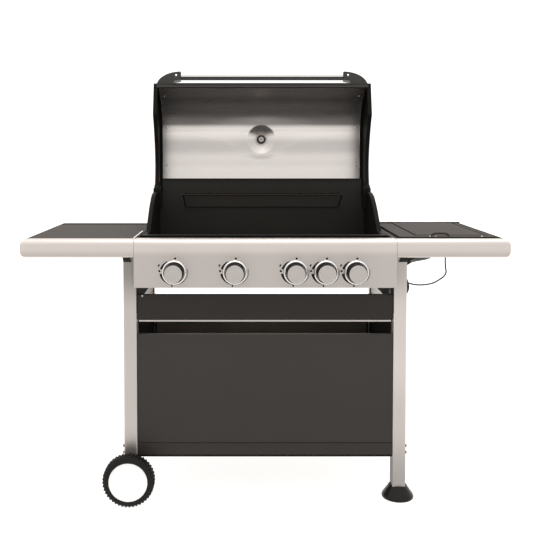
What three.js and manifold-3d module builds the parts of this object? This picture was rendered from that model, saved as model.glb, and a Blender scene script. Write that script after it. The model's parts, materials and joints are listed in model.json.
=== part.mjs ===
// Gas barbecue grill: a four-burner cook box with a hinged lid, on a cart with two wheels and two feet,
// with a plain side shelf on the left and a side burner under a hinged cover on the right.
// Millimetres, x to the right, y to the back, z up from the floor. The lid stands open.
import * as THREE from 'three';
import { mergeVertices } from 'three/addons/utils/BufferGeometryUtils.js';
import Module from 'manifold-3d';

const wasm = await Module();
wasm.setup();

// ---------------------------------------------------------------- driving dimensions
const seat = 0.3;               // gap left where two pieces touch
const running = 0.5;            // radial play of a turning or sliding piece
const sheet = 1.5;              // steel sheet of the box, lid, shelves and panels

// cart frame
const overallWidth = 1285;
const legSize = 35;
const legWall = 1.5;
const legInner = 340;           // inner face of every leg, from the middle
const legFront = 16;            // front face of the front legs
const legPitch = 404;           // front leg to rear leg
const footHeight = 50;
const footRadius = 42.5;
const footNeckRadius = 24;
const plugLength = 40;
const wheelRadius = 68;
const wheelWidth = 36;
const wheelGap = 20;            // wheel's inner side to the leg
const wheelLegClear = 8;        // leg's end above the level of the axle's underside
const treadDepth = 3;
const lugCount = 24;
const axleRadius = 5;
const axleCapRadius = 9;
const axleCapLength = 3;
const hubRadius = 14;
const hubRecessRadius = 49;
const hubRecessDepth = 3;
const bottomShelfTop = 151;
const bottomShelfDepth = 35;
const panelSetback = 4;         // front sheets behind the front face of the legs
const panelFlange = 15;
const frontPanelTop = 443;
const valanceHeight = 65;
const valanceGap = 22;          // valance's top below the control panel
const towelRailRadius = 3.3;
const towelRailDrop = 5;        // rail's middle below the valance
const rearPanelTop = 465;
const sideSlotHeight = 47;
const sideSlotDrop = 40;        // slot's top below the side panel's top
const sideSlotMargin = 20;      // solid sheet at each end of the slot
const sideNotchInset = 3;       // notch to the panel's front edge
const sideNotchWidth = 22;      // way through for the hose and the igniter wire
const sideNotchDepth = 27;

// cook box
const boxTop = 700;             // rim of the cook box; the heights of the burners and shelves hang from it
const boxLegGap = 5;            // end castings to the legs
const castingWall = 12;
const boxSetback = 68;          // cook box behind the front face of the front legs
const boxRearInset = 31;        // cook box in front of the back face of the rear legs
const floorDrop = 32;           // floor below the burners' middle
const floorChamfer = 16;
const lipWidth = 10;
const upstandRise = 142;
const upstandInset = 22;
const upstandHem = 8;
const grateDrop = 46;           // grate's ledge below the rim
const tamerDrop = 34;           // flame tamers' ledge below the grate's
const burnerDrop = 8;           // burners' middle below the flame tamers' ledge
const ledgeWidth = 12;
const grateHeight = 10;
const grateBar = 7;
const gratePitch = 22;
const grateSplit = 2;           // half the gap between the two grates
const tamerHalf = 60;
const tamerRise = 26;
const burnerSpread = 5;         // share of the box's inner half left beside the four burners
const burnerRadius = 12;
const burnerWall = 1.5;
const burnerMouth = 22;         // burner's mouth in front of the box
const rackInset = 92;
const rackRise = 96;
const rackDepth = 98;
const rackWire = 2.5;
const rackBars = 11;
const rackDrop = 42;
const greaseHoleRadius = 20;
const trayHalf = 150;
const trayFrontInset = 28;
const trayRearInset = 22;
const trayDepth = 16;
const trayClear = 8;            // tray's rim below the floor of the cook box

// control panel and valves
const panelLap = 5;             // panel's ends past the inner faces of the legs
const panelSkirt = 41;          // panel's lower edge below the knobs
const panelReturn = 32;
const panelRound = 18;
const stemRadius = 4;
const stemLength = 46;
const knobSkirtRadius = 32;
const knobSkirtDepth = 5;
const knobRadius = 24;
const knobDepth = 27;
const knobStandOff = 5;         // knob's back in front of the panel, for the push travel
const knobSocket = 12;
const valveNeckRadius = 10;
const valveNeckEnd = 30;
const valveWidth = 28;
const valveDepth = 28;
const valveDrop = 17;           // valve's underside below the burner line
const valveRise = 36;
const pipeRadius = 8;
const pipeInset = 45;
const nozzleRadius = 4;

// lid
const hingeInset = 24;          // hinge pin in front of the box's back
const hingeRise = 105;          // hinge pin above the rim
const lidGap = 3;               // lid's lower edge above the rim, lid closed
const rimGap = 4;               // lid's ends to the end castings, lid closed
const lidOpen = 105;            // degrees
const lobeRadius = 18;
const pinRadius = 5;
const pinHeadRadius = 8;
const pinHeadLength = 3;
const earWidth = 8;
const earRadius = 16;
const capPlate = 4;
const capFlange = 8;
const dishRadius = 47;
const dishRise = 11;
const dishSetback = 126;        // dish centre behind the lid's front, lid closed
const gaugeRadius = 32;
const gaugeHeight = 14;
const gaugeWall = 3;
const gaugeDialDepth = 5;
const gaugeStemRadius = 5;
const gaugeNutRadius = 10;
const gaugeNutThick = 6;
const probeRadius = 2.5;
const probeLength = 18;
const gaugeWasherRadius = 14;
const gaugeWasherThick = 2.5;
const needleLength = 22;
const needleRest = 135;         // degrees from the top of the dial to the cold end
const handleRadius = 11;
const handleStandOff = 37;
const handleRise = 36;
const bracketHalfHeight = 12;
const bracketInset = 8;         // outer end of a handle bracket inside the box's sides
const bracketWidth = 73;

// side shelves and side burner
const shelfDrop = 3;            // shelf's surface below the rim of the cook box
const fasciaHeight = 49;
const fasciaDepth = 20;
const fasciaWall = 2;
const fasciaCorner = 17;
const seam = 0.6;               // seam between panel and fascia
const deckOuterInset = 8.5;     // deck's outer edge inside the fascia's end
const deckFlange = 28;
const gussetDrop = 24;
const gussetReach = 26;
const gussetThick = 15;
const wellInset = 34;           // side burner well inside the deck's edges
const wellDepth = 42;
const wellRim = 6;
const potRadius = 34;
const potHeight = 26;
const trivetReach = 40;         // trivet's ring outside the side burner's head
const trivetEye = 20;           // inner ends of its spokes from the middle
const trivetRest = 12;          // width of the rests under its long bars
const ventRadius = 9;
const ventDrop = 27;            // air inlet below the bowl of the side burner
const trivetBar = 5;
const coverPlate = 2.4;
const coverRise = 2.6;
const coverBorder = 26;
const coverHandleHalf = 24;
const coverHandleShift = 30;    // handle left of the cover's middle
const coverHandleInset = 12;
const coverHandleRise = 6;
const coverHandleWire = 2.5;
const coverPinRadius = 1.5;
const coverBarrelRadius = 2.9;
const coverPinSetback = 8;      // hinge pin behind the cover's rear edge
const knuckleHalf = 15;
const knuckleSpread = 80;       // hinge knuckles either side of the cover's middle
const coverEar = 3;

// hose and wire
const hoseRadius = 3.5;
const wireRadius = 2;
const cordSides = 8;

// ---------------------------------------------------------------- sizes that follow
const legOuter = legInner + legSize;
const legMiddle = legInner + legSize / 2;
const rearLegFront = legFront + legPitch;
const rearLegBack = rearLegFront + legSize;
const shelfTop = boxTop - shelfDrop;
const fasciaTop = shelfTop + seat + sheet;
const legTop = shelfTop - sheet - seat;
const lugHalfAngle = Math.PI / (2 * lugCount);
const axleHeight = wheelRadius * Math.cos(lugHalfAngle);
const boxHalf = legInner - boxLegGap;
const boxInner = boxHalf - castingWall;
const boxFront = legFront + boxSetback;
const boxRear = rearLegBack - boxRearInset;
const grateLedge = boxTop - grateDrop;
const tamerLedge = grateLedge - tamerDrop;
const burnerHeight = tamerLedge - burnerDrop;
const boxFloor = burnerHeight - floorDrop;
const trayBottom = boxFloor - trayClear - trayDepth;
const panelHalf = legInner + panelLap;
const panelBottom = burnerHeight - panelSkirt;
const valanceTop = panelBottom - valanceGap;
const valanceBottom = valanceTop - valanceHeight;
const upstandTop = boxTop + upstandRise;
const upstandHalf = boxHalf - upstandInset;
const hingeY = boxRear - hingeInset;
const hingeZ = boxTop + hingeRise;
const fasciaEnd = overallWidth / 2;
const deckInner = legInner + 1;
const deckOuter = fasciaEnd - deckOuterInset;
const deckFront = fasciaDepth + seat;
const deckRear = rearLegBack + seat + sheet;
const burnerPitch = (boxInner - burnerSpread) / 2;
const mainBurners = [-1.5, -0.5, 0.5, 1.5].map((k) => k * burnerPitch);
const sideValve = (mainBurners[2] + mainBurners[3]) / 2;
const valves = [...mainBurners.slice(0, 3), sideValve, mainBurners[3]];
const pi = Math.PI;

// ---------------------------------------------------------------- materials
const finish = (color, roughness, metalness) =>
  new THREE.MeshStandardMaterial({ color, roughness, metalness });
const silverPaint = finish(0xc4bcb6, 0.45, 0.3);
const stainless = finish(0xcfcac4, 0.3, 0.9);
const chrome = finish(0xe6e4e0, 0.12, 1);
const zinc = finish(0xa9a59f, 0.45, 0.9);
const graphitePaint = finish(0x433f3a, 0.6, 0.2);
const shelfPaint = finish(0x675f57, 0.6, 0.2);
const blackEnamel = finish(0x262320, 0.35, 0.1);
const castAluminium = finish(0x3f3b38, 0.55, 0.5);
const castIron = finish(0x201d1a, 0.7, 0.4);
const brass = finish(0xb08d4f, 0.35, 0.9);
const blackPlastic = finish(0x24211e, 0.4, 0);
const blackRubber = finish(0x1c1a18, 0.8, 0);
const dialWhite = finish(0xd9d5cf, 0.5, 0.1);
const redPaint = finish(0xa83224, 0.5, 0.1);

// ---------------------------------------------------------------- solids
// A closed geometry as a solid: shared corners merged, flat triangles dropped, faces turned outwards.
function solid(geometry) {
  const bare = geometry.clone();
  bare.deleteAttribute('normal');
  bare.deleteAttribute('uv');
  const merged = mergeVertices(bare, 1e-4);
  const index = merged.index.array;
  const at = merged.attributes.position;
  const corner = [0, 1, 2].map(() => new THREE.Vector3());
  const triangles = [];
  let volume = 0;
  for (let i = 0; i < index.length; i += 3) {
    const [a, b, c] = [index[i], index[i + 1], index[i + 2]];
    if (a === b || b === c || c === a) continue;
    triangles.push(a, b, c);
    [a, b, c].forEach((id, k) => corner[k].fromBufferAttribute(at, id));
    volume += corner[0].dot(corner[1].clone().cross(corner[2]));
  }
  if (volume < 0) triangles.reverse();
  const mesh = new wasm.Mesh({
    numProp: 3,
    vertProperties: new Float32Array(at.array),
    triVerts: new Uint32Array(triangles),
  });
  return new wasm.Manifold(mesh);
}

const join = (first, ...others) => others.reduce((sum, next) => sum.add(next), first);
const cut = (first, ...others) => others.reduce((rest, next) => rest.subtract(next), first);
const shapeOf = (points) => new THREE.Shape(points.map(([a, b]) => new THREE.Vector2(a, b)));

function extrude(shape, length, ...axes) {
  const geometry = new THREE.ExtrudeGeometry(shape, { depth: length, bevelEnabled: false, curveSegments: 6 });
  const [right, up, along, origin] = axes;
  const place = new THREE.Matrix4().makeBasis(right, up, along).setPosition(origin);
  return solid(geometry.applyMatrix4(place));
}

const unitX = new THREE.Vector3(1, 0, 0);
const unitY = new THREE.Vector3(0, 1, 0);
const unitZ = new THREE.Vector3(0, 0, 1);

// Prisms: a (y, z) outline along x, an (x, z) outline along y, an (x, y) outline along z.
const prismX = (points, from, to) =>
  extrude(shapeOf(points), to - from, unitY, unitZ, unitX, new THREE.Vector3(from, 0, 0));
const prismY = (points, from, to) =>
  extrude(shapeOf(points), to - from, unitX, unitZ, unitY.clone().negate(), new THREE.Vector3(0, to, 0));
const prismZ = (points, from, to) =>
  extrude(shapeOf(points), to - from, unitX, unitY, unitZ, new THREE.Vector3(0, 0, from));

function block([x0, x1], [y0, y1], [z0, z1]) {
  const box = new THREE.BoxGeometry(x1 - x0, y1 - y0, z1 - z0);
  return solid(box.translate((x0 + x1) / 2, (y0 + y1) / 2, (z0 + z1) / 2));
}

// Round bar along one axis, between two places on it.
function bar(axis, radius, from, to, [a, b], sides = 20) {
  const geometry = new THREE.CylinderGeometry(radius, radius, to - from, sides);
  const middle = (from + to) / 2;
  if (axis === 'x') return solid(geometry.rotateZ(-pi / 2).translate(middle, a, b));
  if (axis === 'y') return solid(geometry.translate(a, middle, b));
  return solid(geometry.rotateX(pi / 2).translate(a, b, middle));
}

// Turned piece: (radius, height) profile about the z axis.
function turned(profile, sides = 28) {
  const points = profile.map(([r, h]) => new THREE.Vector2(r, h));
  return solid(new THREE.LatheGeometry(points, sides).rotateX(pi / 2));
}

// Round wire through a list of points.
function wire(points, radius, sides, steps, straight = false) {
  const ring = [];
  for (let k = 0; k < sides; k += 1) {
    const angle = (2 * pi * k) / sides;
    ring.push([radius * Math.cos(angle), radius * Math.sin(angle)]);
  }
  const route = points.map((p) => new THREE.Vector3(...p));
  const path = straight
    ? new THREE.LineCurve3(...route)
    : new THREE.CatmullRomCurve3(route, false, 'centripetal');
  return solid(new THREE.ExtrudeGeometry(shapeOf(ring), { steps, bevelEnabled: false, extrudePath: path }));
}

// A line of points moved sideways by a distance, to the right of its direction of travel.
function offset(points, distance) {
  const side = points.slice(1).map(([a, b], i) => {
    const direction = new THREE.Vector2(a - points[i][0], b - points[i][1]).normalize();
    return new THREE.Vector2(direction.y, -direction.x);
  });
  return points.map(([a, b], i) => {
    const before = side[Math.max(i - 1, 0)];
    const after = side[Math.min(i, side.length - 1)];
    const miter = before.clone().add(after);
    miter.multiplyScalar(distance / (1 + before.dot(after)));
    return [a + miter.x, b + miter.y];
  });
}

// A bent sheet's section: a line of points and the same line moved by the sheet's thickness.
const bent = (points, thickness) => [...points, ...offset(points, thickness).reverse()];

function arc([a, b], radius, from, to, steps = 5) {
  const points = [];
  for (let k = 0; k <= steps; k += 1) {
    const angle = from + ((to - from) * k) / steps;
    points.push([a + radius * Math.cos(angle), b + radius * Math.sin(angle)]);
  }
  return points;
}

// Folded pan: a box with one open side, named by its axis and sense.
function pan([x0, x1], [y0, y1], [z0, z1], wall, open) {
  const reach = (side) => (open === side ? -wall : wall);
  const hollow = block(
    [x0 + wall, x1 - wall],
    [y0 + reach('front'), y1 - reach('back')],
    [z0 + reach('below'), z1 - reach('above')],
  );
  return cut(block([x0, x1], [y0, y1], [z0, z1]), hollow);
}

const grill = new THREE.Group();

function piece(name, body, material, parent = grill) {
  const mesh = body.getMesh();
  const geometry = new THREE.BufferGeometry();
  geometry.setAttribute('position', new THREE.BufferAttribute(new Float32Array(mesh.vertProperties), 3));
  geometry.setIndex(new THREE.BufferAttribute(new Uint32Array(mesh.triVerts), 1));
  const item = new THREE.Mesh(geometry, material);
  item.name = name;
  parent.add(item);
  return item;
}

// The same solid on the left (-1) or on the right (+1): spans in x are mirrored.
const sides = [['left', -1], ['right', 1]];
const across = (side, near, far) => (side > 0 ? [near, far] : [-far, -near]);

// ---------------------------------------------------------------- legs, feet, wheels
function leg(side, front) {
  const x = across(side, legInner, legOuter);
  const y = [front, front + legSize];
  const wheeled = side < 0;
  const bottom = wheeled ? axleHeight - axleRadius - wheelLegClear : footHeight;
  const tube = block(x, y, [bottom, legTop]);
  const bore = block(
    [x[0] + legWall, x[1] - legWall],
    [y[0] + legWall, y[1] - legWall],
    [bottom - 1, legTop - legWall],
  );
  const hollow = cut(tube, bore);
  if (!wheeled) return hollow;
  const hole = bar('y', axleRadius + seat, y[0] - 1, y[1] + 1, [-legMiddle, axleHeight]);
  return cut(hollow, hole);
}

function foot(front) {
  const cone = turned([
    [0, 0], [footRadius - 2, 0], [footRadius, 3], [footRadius - 2, 9],
    [footNeckRadius + 3, footHeight - 10], [footNeckRadius, footHeight - seat], [0, footHeight - seat],
  ], 24).translate([legMiddle, front + legSize / 2, 0]);
  const half = legSize / 2 - legWall - seat;
  const middle = front + legSize / 2;
  const plug = block(
    [legMiddle - half, legMiddle + half],
    [middle - half, middle + half],
    [footHeight - 2, footHeight + plugLength],
  );
  return join(cone, plug);
}

function wheel(outer, inner) {
  // the wheel is turned about the axle, its outer face at y = outer and its inner face at y = inner
  const step = (2 * pi) / lugCount;
  const tread = [];
  for (let k = 0; k < lugCount; k += 1) {
    const middle = -pi / 2 + k * step;
    const root = wheelRadius - treadDepth;
    for (const [radius, turn] of [[root, -0.3], [wheelRadius, -0.25], [wheelRadius, 0.25], [root, 0.3]]) {
      tread.push([radius * Math.cos(middle + turn * step), radius * Math.sin(middle + turn * step)]);
    }
  }
  const out = Math.sign(outer - inner);
  const low = Math.min(outer, inner);
  const high = Math.max(outer, inner);
  const shoulder = 5;
  const body = turned([
    [0, low], [wheelRadius - 12, low], [wheelRadius - treadDepth - 2, low + shoulder],
    [wheelRadius - treadDepth - 2, high - shoulder], [wheelRadius - 12, high], [0, high],
  ], 24).rotate([-90, 0, 0]);
  const rim = prismY(tread, low + shoulder, high - shoulder);
  const recess = bar('y', hubRecessRadius, outer - out * hubRecessDepth, outer + out, [0, 0], 24);
  const web = wheelWidth / 2 - 4;
  const dish = cut(
    bar('y', hubRecessRadius, ...[inner - out, inner + out * web].sort((a, b) => a - b), [0, 0], 24),
    bar('y', hubRadius, low - 2, high + 2, [0, 0], 16),
  );
  const boss = [inner + out * (web + 2), inner - out * (wheelGap - 2)].sort((a, b) => a - b);
  const hub = bar('y', hubRadius, boss[0], boss[1], [0, 0], 16);
  const bore = bar('y', axleRadius + running, low - wheelGap, high + wheelGap, [0, 0], 16);
  return cut(join(cut(join(body, rim), recess, dish), hub), bore).translate([-legMiddle, 0, axleHeight]);
}

for (const [row, front] of [['front', legFront], ['rear', rearLegFront]]) {
  for (const [hand, side] of sides) piece(`leg_${row}_${hand}`, leg(side, front), silverPaint);
  piece(`foot_${row}`, foot(front), blackPlastic);
}

const wheelFrontInner = legFront - wheelGap;
const wheelRearInner = rearLegBack + wheelGap;
piece('wheel_front', wheel(wheelFrontInner - wheelWidth, wheelFrontInner), blackPlastic);
piece('wheel_rear', wheel(wheelRearInner + wheelWidth, wheelRearInner), blackPlastic);

function axle() {
  const front = wheelFrontInner - wheelWidth + hubRecessDepth - seat;
  const rear = wheelRearInner + wheelWidth - hubRecessDepth + seat;
  const place = [-legMiddle, axleHeight];
  return join(
    bar('y', axleRadius, front - 1, rear + 1, place),
    bar('y', axleCapRadius, front - axleCapLength, front, place),
    bar('y', axleCapRadius, rear, rear + axleCapLength, place),
  );
}
piece('axle', axle(), zinc);

// ---------------------------------------------------------------- cart sheets and towel rail
const between = [-(legInner - seat), legInner - seat];
const sheetFront = legFront + panelSetback;

piece('bottom_shelf', pan(
  between,
  [legFront + 2, rearLegBack - 2],
  [bottomShelfTop - bottomShelfDepth, bottomShelfTop],
  sheet,
  'below',
), graphitePaint);
piece('front_panel', pan(
  between,
  [sheetFront, sheetFront + panelFlange],
  [bottomShelfTop + seat, frontPanelTop],
  sheet,
  'back',
), graphitePaint);
piece('front_valance', pan(
  between,
  [sheetFront, sheetFront + panelFlange],
  [valanceBottom, valanceTop],
  sheet,
  'back',
), graphitePaint);
piece('towel_rail', bar(
  'x',
  towelRailRadius,
  between[0],
  between[1],
  [sheetFront + 6, valanceBottom - towelRailDrop],
  12,
), chrome);
piece('rear_panel', pan(
  between,
  [rearLegBack - panelSetback - panelFlange, rearLegBack - panelSetback],
  [bottomShelfTop + seat, rearPanelTop],
  sheet,
  'front',
), graphitePaint);

for (const [hand, side] of sides) {
  const length = [legFront + legSize + seat, rearLegFront - seat];
  const through = across(side, legInner, legInner + 2 + sheet);
  const slotTop = panelBottom - sideSlotDrop;
  const panel = block(
    across(side, legInner + 1, legInner + 1 + sheet),
    length,
    [bottomShelfTop - bottomShelfDepth, panelBottom],
  );
  const slot = block(
    through,
    [length[0] + sideSlotMargin, length[1] - sideSlotMargin],
    [slotTop - sideSlotHeight, slotTop],
  );
  const notch = block(
    through,
    [length[0] + sideNotchInset, length[0] + sideNotchInset + sideNotchWidth],
    [panelBottom - sideNotchDepth, panelBottom + 1],
  );
  piece(`side_panel_${hand}`, side > 0 ? cut(panel, slot, notch) : cut(panel, slot), graphitePaint);
}

// ---------------------------------------------------------------- cook box
const tubHalf = boxInner - seat;
const trayFront = boxFront + trayFrontInset;
const trayRear = boxRear - trayRearInset;

function tub() {
  const section = bent([
    [boxFront - lipWidth, boxTop], [boxFront, boxTop],
    [boxFront, boxFloor + floorChamfer], [boxFront + floorChamfer, boxFloor],
    [boxRear - floorChamfer, boxFloor], [boxRear, boxFloor + floorChamfer],
    [boxRear, upstandTop],
    [boxRear - upstandHem, upstandTop],
  ].reverse(), sheet);
  const walls = prismX(section, -tubHalf, tubHalf);
  const ledge = (y, z) => block([-tubHalf, tubHalf], y, [z - sheet, z]);
  const frontLedge = [boxFront + 1, boxFront + ledgeWidth];
  const rearLedge = [boxRear - ledgeWidth, boxRear - 1];
  const runner = (side) => {
    const inside = trayHalf + running;
    const foot0 = trayBottom - seat - sheet;
    const length = [trayFront - 6, trayRear + 4];
    return join(
      block(across(side, inside, inside + sheet), length, [foot0, boxFloor + 1]),
      block(across(side, inside - 10, inside + sheet), length, [foot0, foot0 + sheet]),
    );
  };
  const shoulders = sides.map(([, side]) => block(
    across(side, upstandHalf, tubHalf + 1),
    [boxRear - upstandHem - 1, boxRear + 1],
    [boxTop + 45, upstandTop + 1],
  ));
  const burnerHoles = mainBurners.flatMap((x) => [
    [boxFront - 2, boxFront + ledgeWidth + 1],
    [boxRear - ledgeWidth - 1, boxRear - sheet],
  ].map(([front, back]) => bar('y', burnerRadius + running, front, back, [x, burnerHeight], 14)));
  const drain = bar('z', greaseHoleRadius, boxFloor - 3, boxFloor + 3, [0, (boxFront + boxRear) / 2]);
  const whole = join(
    walls,
    ledge(frontLedge, grateLedge), ledge(rearLedge, grateLedge),
    ledge(frontLedge, tamerLedge), ledge(rearLedge, tamerLedge),
    runner(-1), runner(1),
  );
  return cut(whole, ...shoulders, ...burnerHoles, drain);
}
piece('firebox_tub', tub(), blackEnamel);

// Upper edge of the end castings, and of the lid's ends just above it when the lid is shut.
const smooth = (points, count) => {
  const curve = new THREE.SplineCurve(points.map(([a, b]) => new THREE.Vector2(a, b)));
  return curve.getPoints(count).map((p) => [p.x, p.y]);
};
const castingFront = boxFront - 4;
const castingEdge = smooth([
  [-210, 3], [-193, 22], [-168, 44], [-138, 67], [-100, 88], [-63, 99], [-22, 102],
].map(([back, up]) => [hingeY + back, boxTop + up]), 12);
const lobeRecess = arc([hingeY, hingeZ], lobeRadius + 3, pi + 0.3, 1.5 * pi, 4);

function firebox_end(side) {
  const outline = [
    [castingFront, boxFloor - 2], [castingFront, boxTop], [castingEdge[0][0] - 3, boxTop], ...castingEdge,
    ...lobeRecess, [hingeY + 8, hingeZ - 27], [boxRear - 2, hingeZ - 40], [boxRear, boxFloor - 2],
  ];
  const plate = prismX(outline, ...across(side, boxInner, boxHalf));
  const ear = prismX([
    ...arc([hingeY, hingeZ], earRadius, 0, pi, 10),
    [hingeY - earRadius, hingeZ - 55], [hingeY + 10, hingeZ - 55],
  ], ...across(side, boxInner - running - earWidth, boxInner - running));
  const web = prismX([
    [hingeY - earRadius, hingeZ - 30], [hingeY - earRadius, hingeZ - 55],
    [hingeY + 10, hingeZ - 55], [hingeY + 4, hingeZ - 30],
  ], ...across(side, boxInner - 2, boxInner + 1));
  const pinEnd = boxHalf + seat;
  const pin = join(
    bar('x', pinRadius, ...across(side, boxInner - earWidth, pinEnd + 1), [hingeY, hingeZ]),
    bar('x', pinHeadRadius, ...across(side, pinEnd, pinEnd + pinHeadLength), [hingeY, hingeZ]),
  );
  const tab = (y) => block(across(side, boxHalf - 5, legInner - seat), y, [boxFloor + 20, boxFloor + 70]);
  const frontTab = tab([legFront + 6, castingFront + 8]);
  const rearTab = tab([boxRear - 8, rearLegFront + legSize - 8]);
  return join(plate, ear, web, pin, frontTab, rearTab);
}
for (const [hand, side] of sides) piece(`firebox_end_${hand}`, firebox_end(side), castAluminium);

mainBurners.forEach((x, i) => {
  const front = boxFront - burnerMouth;
  const rear = boxRear - sheet - seat;
  const inner = burnerRadius - burnerWall;
  const tube = turned([
    [0, rear], [burnerRadius, rear], [burnerRadius, front + 8], [burnerRadius + 3, front],
    [burnerRadius + 1, front], [inner, front + 8], [inner, rear - 4], [0, rear - 4],
  ], 14).rotate([-90, 0, 0]).translate([x, 0, burnerHeight]);
  piece(`burner_${i + 1}`, tube, stainless);
});

mainBurners.forEach((x, i) => {
  const low = tamerLedge + seat;
  const section = bent([[x - tamerHalf, low], [x, low + tamerRise], [x + tamerHalf, low]], -sheet);
  piece(`flame_tamer_${i + 1}`, prismY(section, boxFront + sheet + 2, boxRear - sheet - 2), blackEnamel);
});

function grate(side) {
  const [x0, x1] = across(side, grateSplit, tubHalf - 2);
  const y = [boxFront + sheet + 1, boxRear - sheet - 1];
  const z = [grateLedge + seat, grateLedge + seat + grateHeight];
  const low = [z[0], z[1] - 2];
  const count = Math.floor((x1 - x0 - grateBar) / gratePitch);
  const pitch = (x1 - x0 - grateBar) / count;
  let body = join(
    block([x0, x1], [y[0], y[0] + grateBar], low),
    block([x0, x1], [y[1] - grateBar, y[1]], low),
  );
  for (let k = 0; k <= count; k += 1) {
    const left = x0 + k * pitch;
    body = body.add(block([left, left + grateBar], y, z));
  }
  return body;
}
for (const [hand, side] of sides) piece(`grate_${hand}`, grate(side), castIron);

function warming_rack() {
  const rackHalf = boxHalf - rackInset;
  const rackHeight = boxTop + rackRise;
  const back = boxRear - sheet - seat;
  const front = back - rackDepth;
  let rack = join(
    bar('x', rackWire, -rackHalf, rackHalf, [front, rackHeight], 6),
    bar('x', rackWire, -rackHalf, rackHalf, [back - rackWire, rackHeight], 6),
    bar('x', rackWire, -rackHalf, rackHalf, [back - rackWire, rackHeight - rackDrop], 6),
  );
  for (let k = 0; k < rackBars; k += 1) {
    const x = -rackHalf + rackWire + ((2 * (rackHalf - rackWire)) * k) / (rackBars - 1);
    const width = [x - rackWire / 2, x + rackWire / 2];
    rack = rack.add(block(width, [front, back], [rackHeight, rackHeight + rackWire + 1]));
  }
  for (const x of [-rackHalf + rackWire, rackHalf - rackWire]) {
    const brace = [[x, front, rackHeight], [x, back - rackWire, rackHeight - rackDrop]];
    rack = rack.add(wire(brace, rackWire - 0.4, 4, 1, true));
  }
  return rack;
}
piece('warming_rack', warming_rack(), blackEnamel);

function grease_tray() {
  const y = [trayFront, trayRear];
  const grip = block([-40, 40], [y[1] - 1, y[1] + 14], [trayBottom + 8, trayBottom + 10]);
  return join(pan([-trayHalf, trayHalf], y, [trayBottom, trayBottom + trayDepth], sheet, 'above'), grip);
}
piece('grease_tray', grease_tray(), zinc);

// ---------------------------------------------------------------- control panel, valves, knobs
function control_panel() {
  const centre = [panelRound, fasciaTop - panelRound];
  const section = bent([
    [panelReturn, fasciaTop], ...arc(centre, panelRound, pi / 2, pi, 5),
    [0, panelBottom], [legFront - seat, panelBottom],
  ], -sheet);
  const holes = valves.map((x) => bar('y', stemRadius + 2, -2, sheet + 2, [x, burnerHeight]));
  const shelfNotches = sides.map(([, side]) => block(
    across(side, deckInner - seat, panelHalf),
    [fasciaDepth, panelReturn + 1],
    [fasciaTop - sheet - 1, fasciaTop + 1],
  ));
  return cut(prismX(section, -panelHalf + seam / 2, panelHalf - seam / 2), ...holes, ...shelfNotches);
}
piece('control_panel', control_panel(), silverPaint);

function gas_manifold() {
  const pipeY = valveNeckEnd + valveDepth / 2;
  const pipeZ = burnerHeight + valveRise;
  const pipeHalf = boxHalf - pipeInset;
  let body = bar('x', pipeRadius, -pipeHalf, pipeHalf, [pipeY, pipeZ], 12);
  for (const x of valves) {
    const side = x === sideValve;
    const deep = [valveNeckEnd, valveNeckEnd + valveDepth];
    const height = [burnerHeight - valveDrop, burnerHeight + valveRise];
    body = join(
      body,
      block([x - valveWidth / 2, x + valveWidth / 2], deep, height),
      bar('y', valveNeckRadius, sheet + seat, valveNeckEnd + 1, [x, burnerHeight], 12),
    );
    const nozzle = bar('y', nozzleRadius, deep[1] - 1, boxFront - burnerMouth + 8, [x, burnerHeight], 12);
    const barb = bar('x', nozzleRadius, x, x + valveWidth / 2 + 6, [pipeY, burnerHeight - 8], 12);
    body = body.add(side ? barb : nozzle);
  }
  const bores = valves.map((x) =>
    bar('y', stemRadius + running, 0, valveNeckEnd + 16, [x, burnerHeight], 12));
  return cut(body, ...bores);
}
piece('gas_manifold', gas_manifold(), brass);

const knobBack = -knobStandOff;
const knobFront = knobBack - knobDepth - knobSkirtDepth;

function knob(x) {
  const skirt = knobBack - knobSkirtDepth;
  const body = turned([
    [0, -knobBack], [knobSkirtRadius, -knobBack], [knobSkirtRadius, -knobBack + 2],
    [knobRadius + 3, -skirt], [knobRadius, -skirt + 3], [knobRadius - 1, -knobFront - 2],
    [knobRadius - 3, -knobFront], [0, -knobFront],
  ], 24).rotate([90, 0, 0]);
  const socket = bar('y', stemRadius + seat, knobBack - knobSocket, knobBack + 1, [0, 0], 12);
  return cut(body, socket).translate([x, 0, burnerHeight]);
}
valves.forEach((x, i) => {
  const name = x === sideValve ? 'side' : `${mainBurners.indexOf(x) + 1}`;
  const stemFront = knobBack - knobSocket + seat;
  const stem = bar('y', stemRadius, stemFront, stemFront + stemLength, [x, burnerHeight], 12);
  piece(`knob_${name}`, knob(x), stainless);
  piece(`valve_stem_${name}`, stem, brass);
});

// ---------------------------------------------------------------- lid, modelled shut and swung open
const lidPivot = new THREE.Group();
lidPivot.position.set(0, hingeY, hingeZ);
lidPivot.rotation.x = -lidOpen * (pi / 180);
const lid = new THREE.Group();
lid.position.set(0, -hingeY, -hingeZ);
lidPivot.add(lid);
grill.add(lidPivot);

const lidFront = boxFront;
const lidLow = boxTop + lidGap;
const skinFront = [[0, 0], [3, 50], [16, 100], [44, 144], [76, 172], [116, 188]];
const skinRear = [[-98, 114], [-20, 120], [36, 103], [58, 57]];
const skinLine = smooth([
  ...skinFront.map(([back, up]) => [lidFront + back, lidLow + up]),
  ...skinRear.map(([back, up]) => [hingeY + back, hingeZ + up]),
], 27);
const rimEdge = [
  [castingEdge[0][0] - rimGap, lidLow],
  ...offset(castingEdge, -rimGap).filter(([y, z]) => z > lidLow + 2 && y < hingeY - 35),
];
const handleY = lidFront - handleStandOff;
const handleZ = lidLow + handleRise;
const bracketReach = boxHalf - bracketInset;
const handleHalf = bracketReach - bracketWidth;

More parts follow.
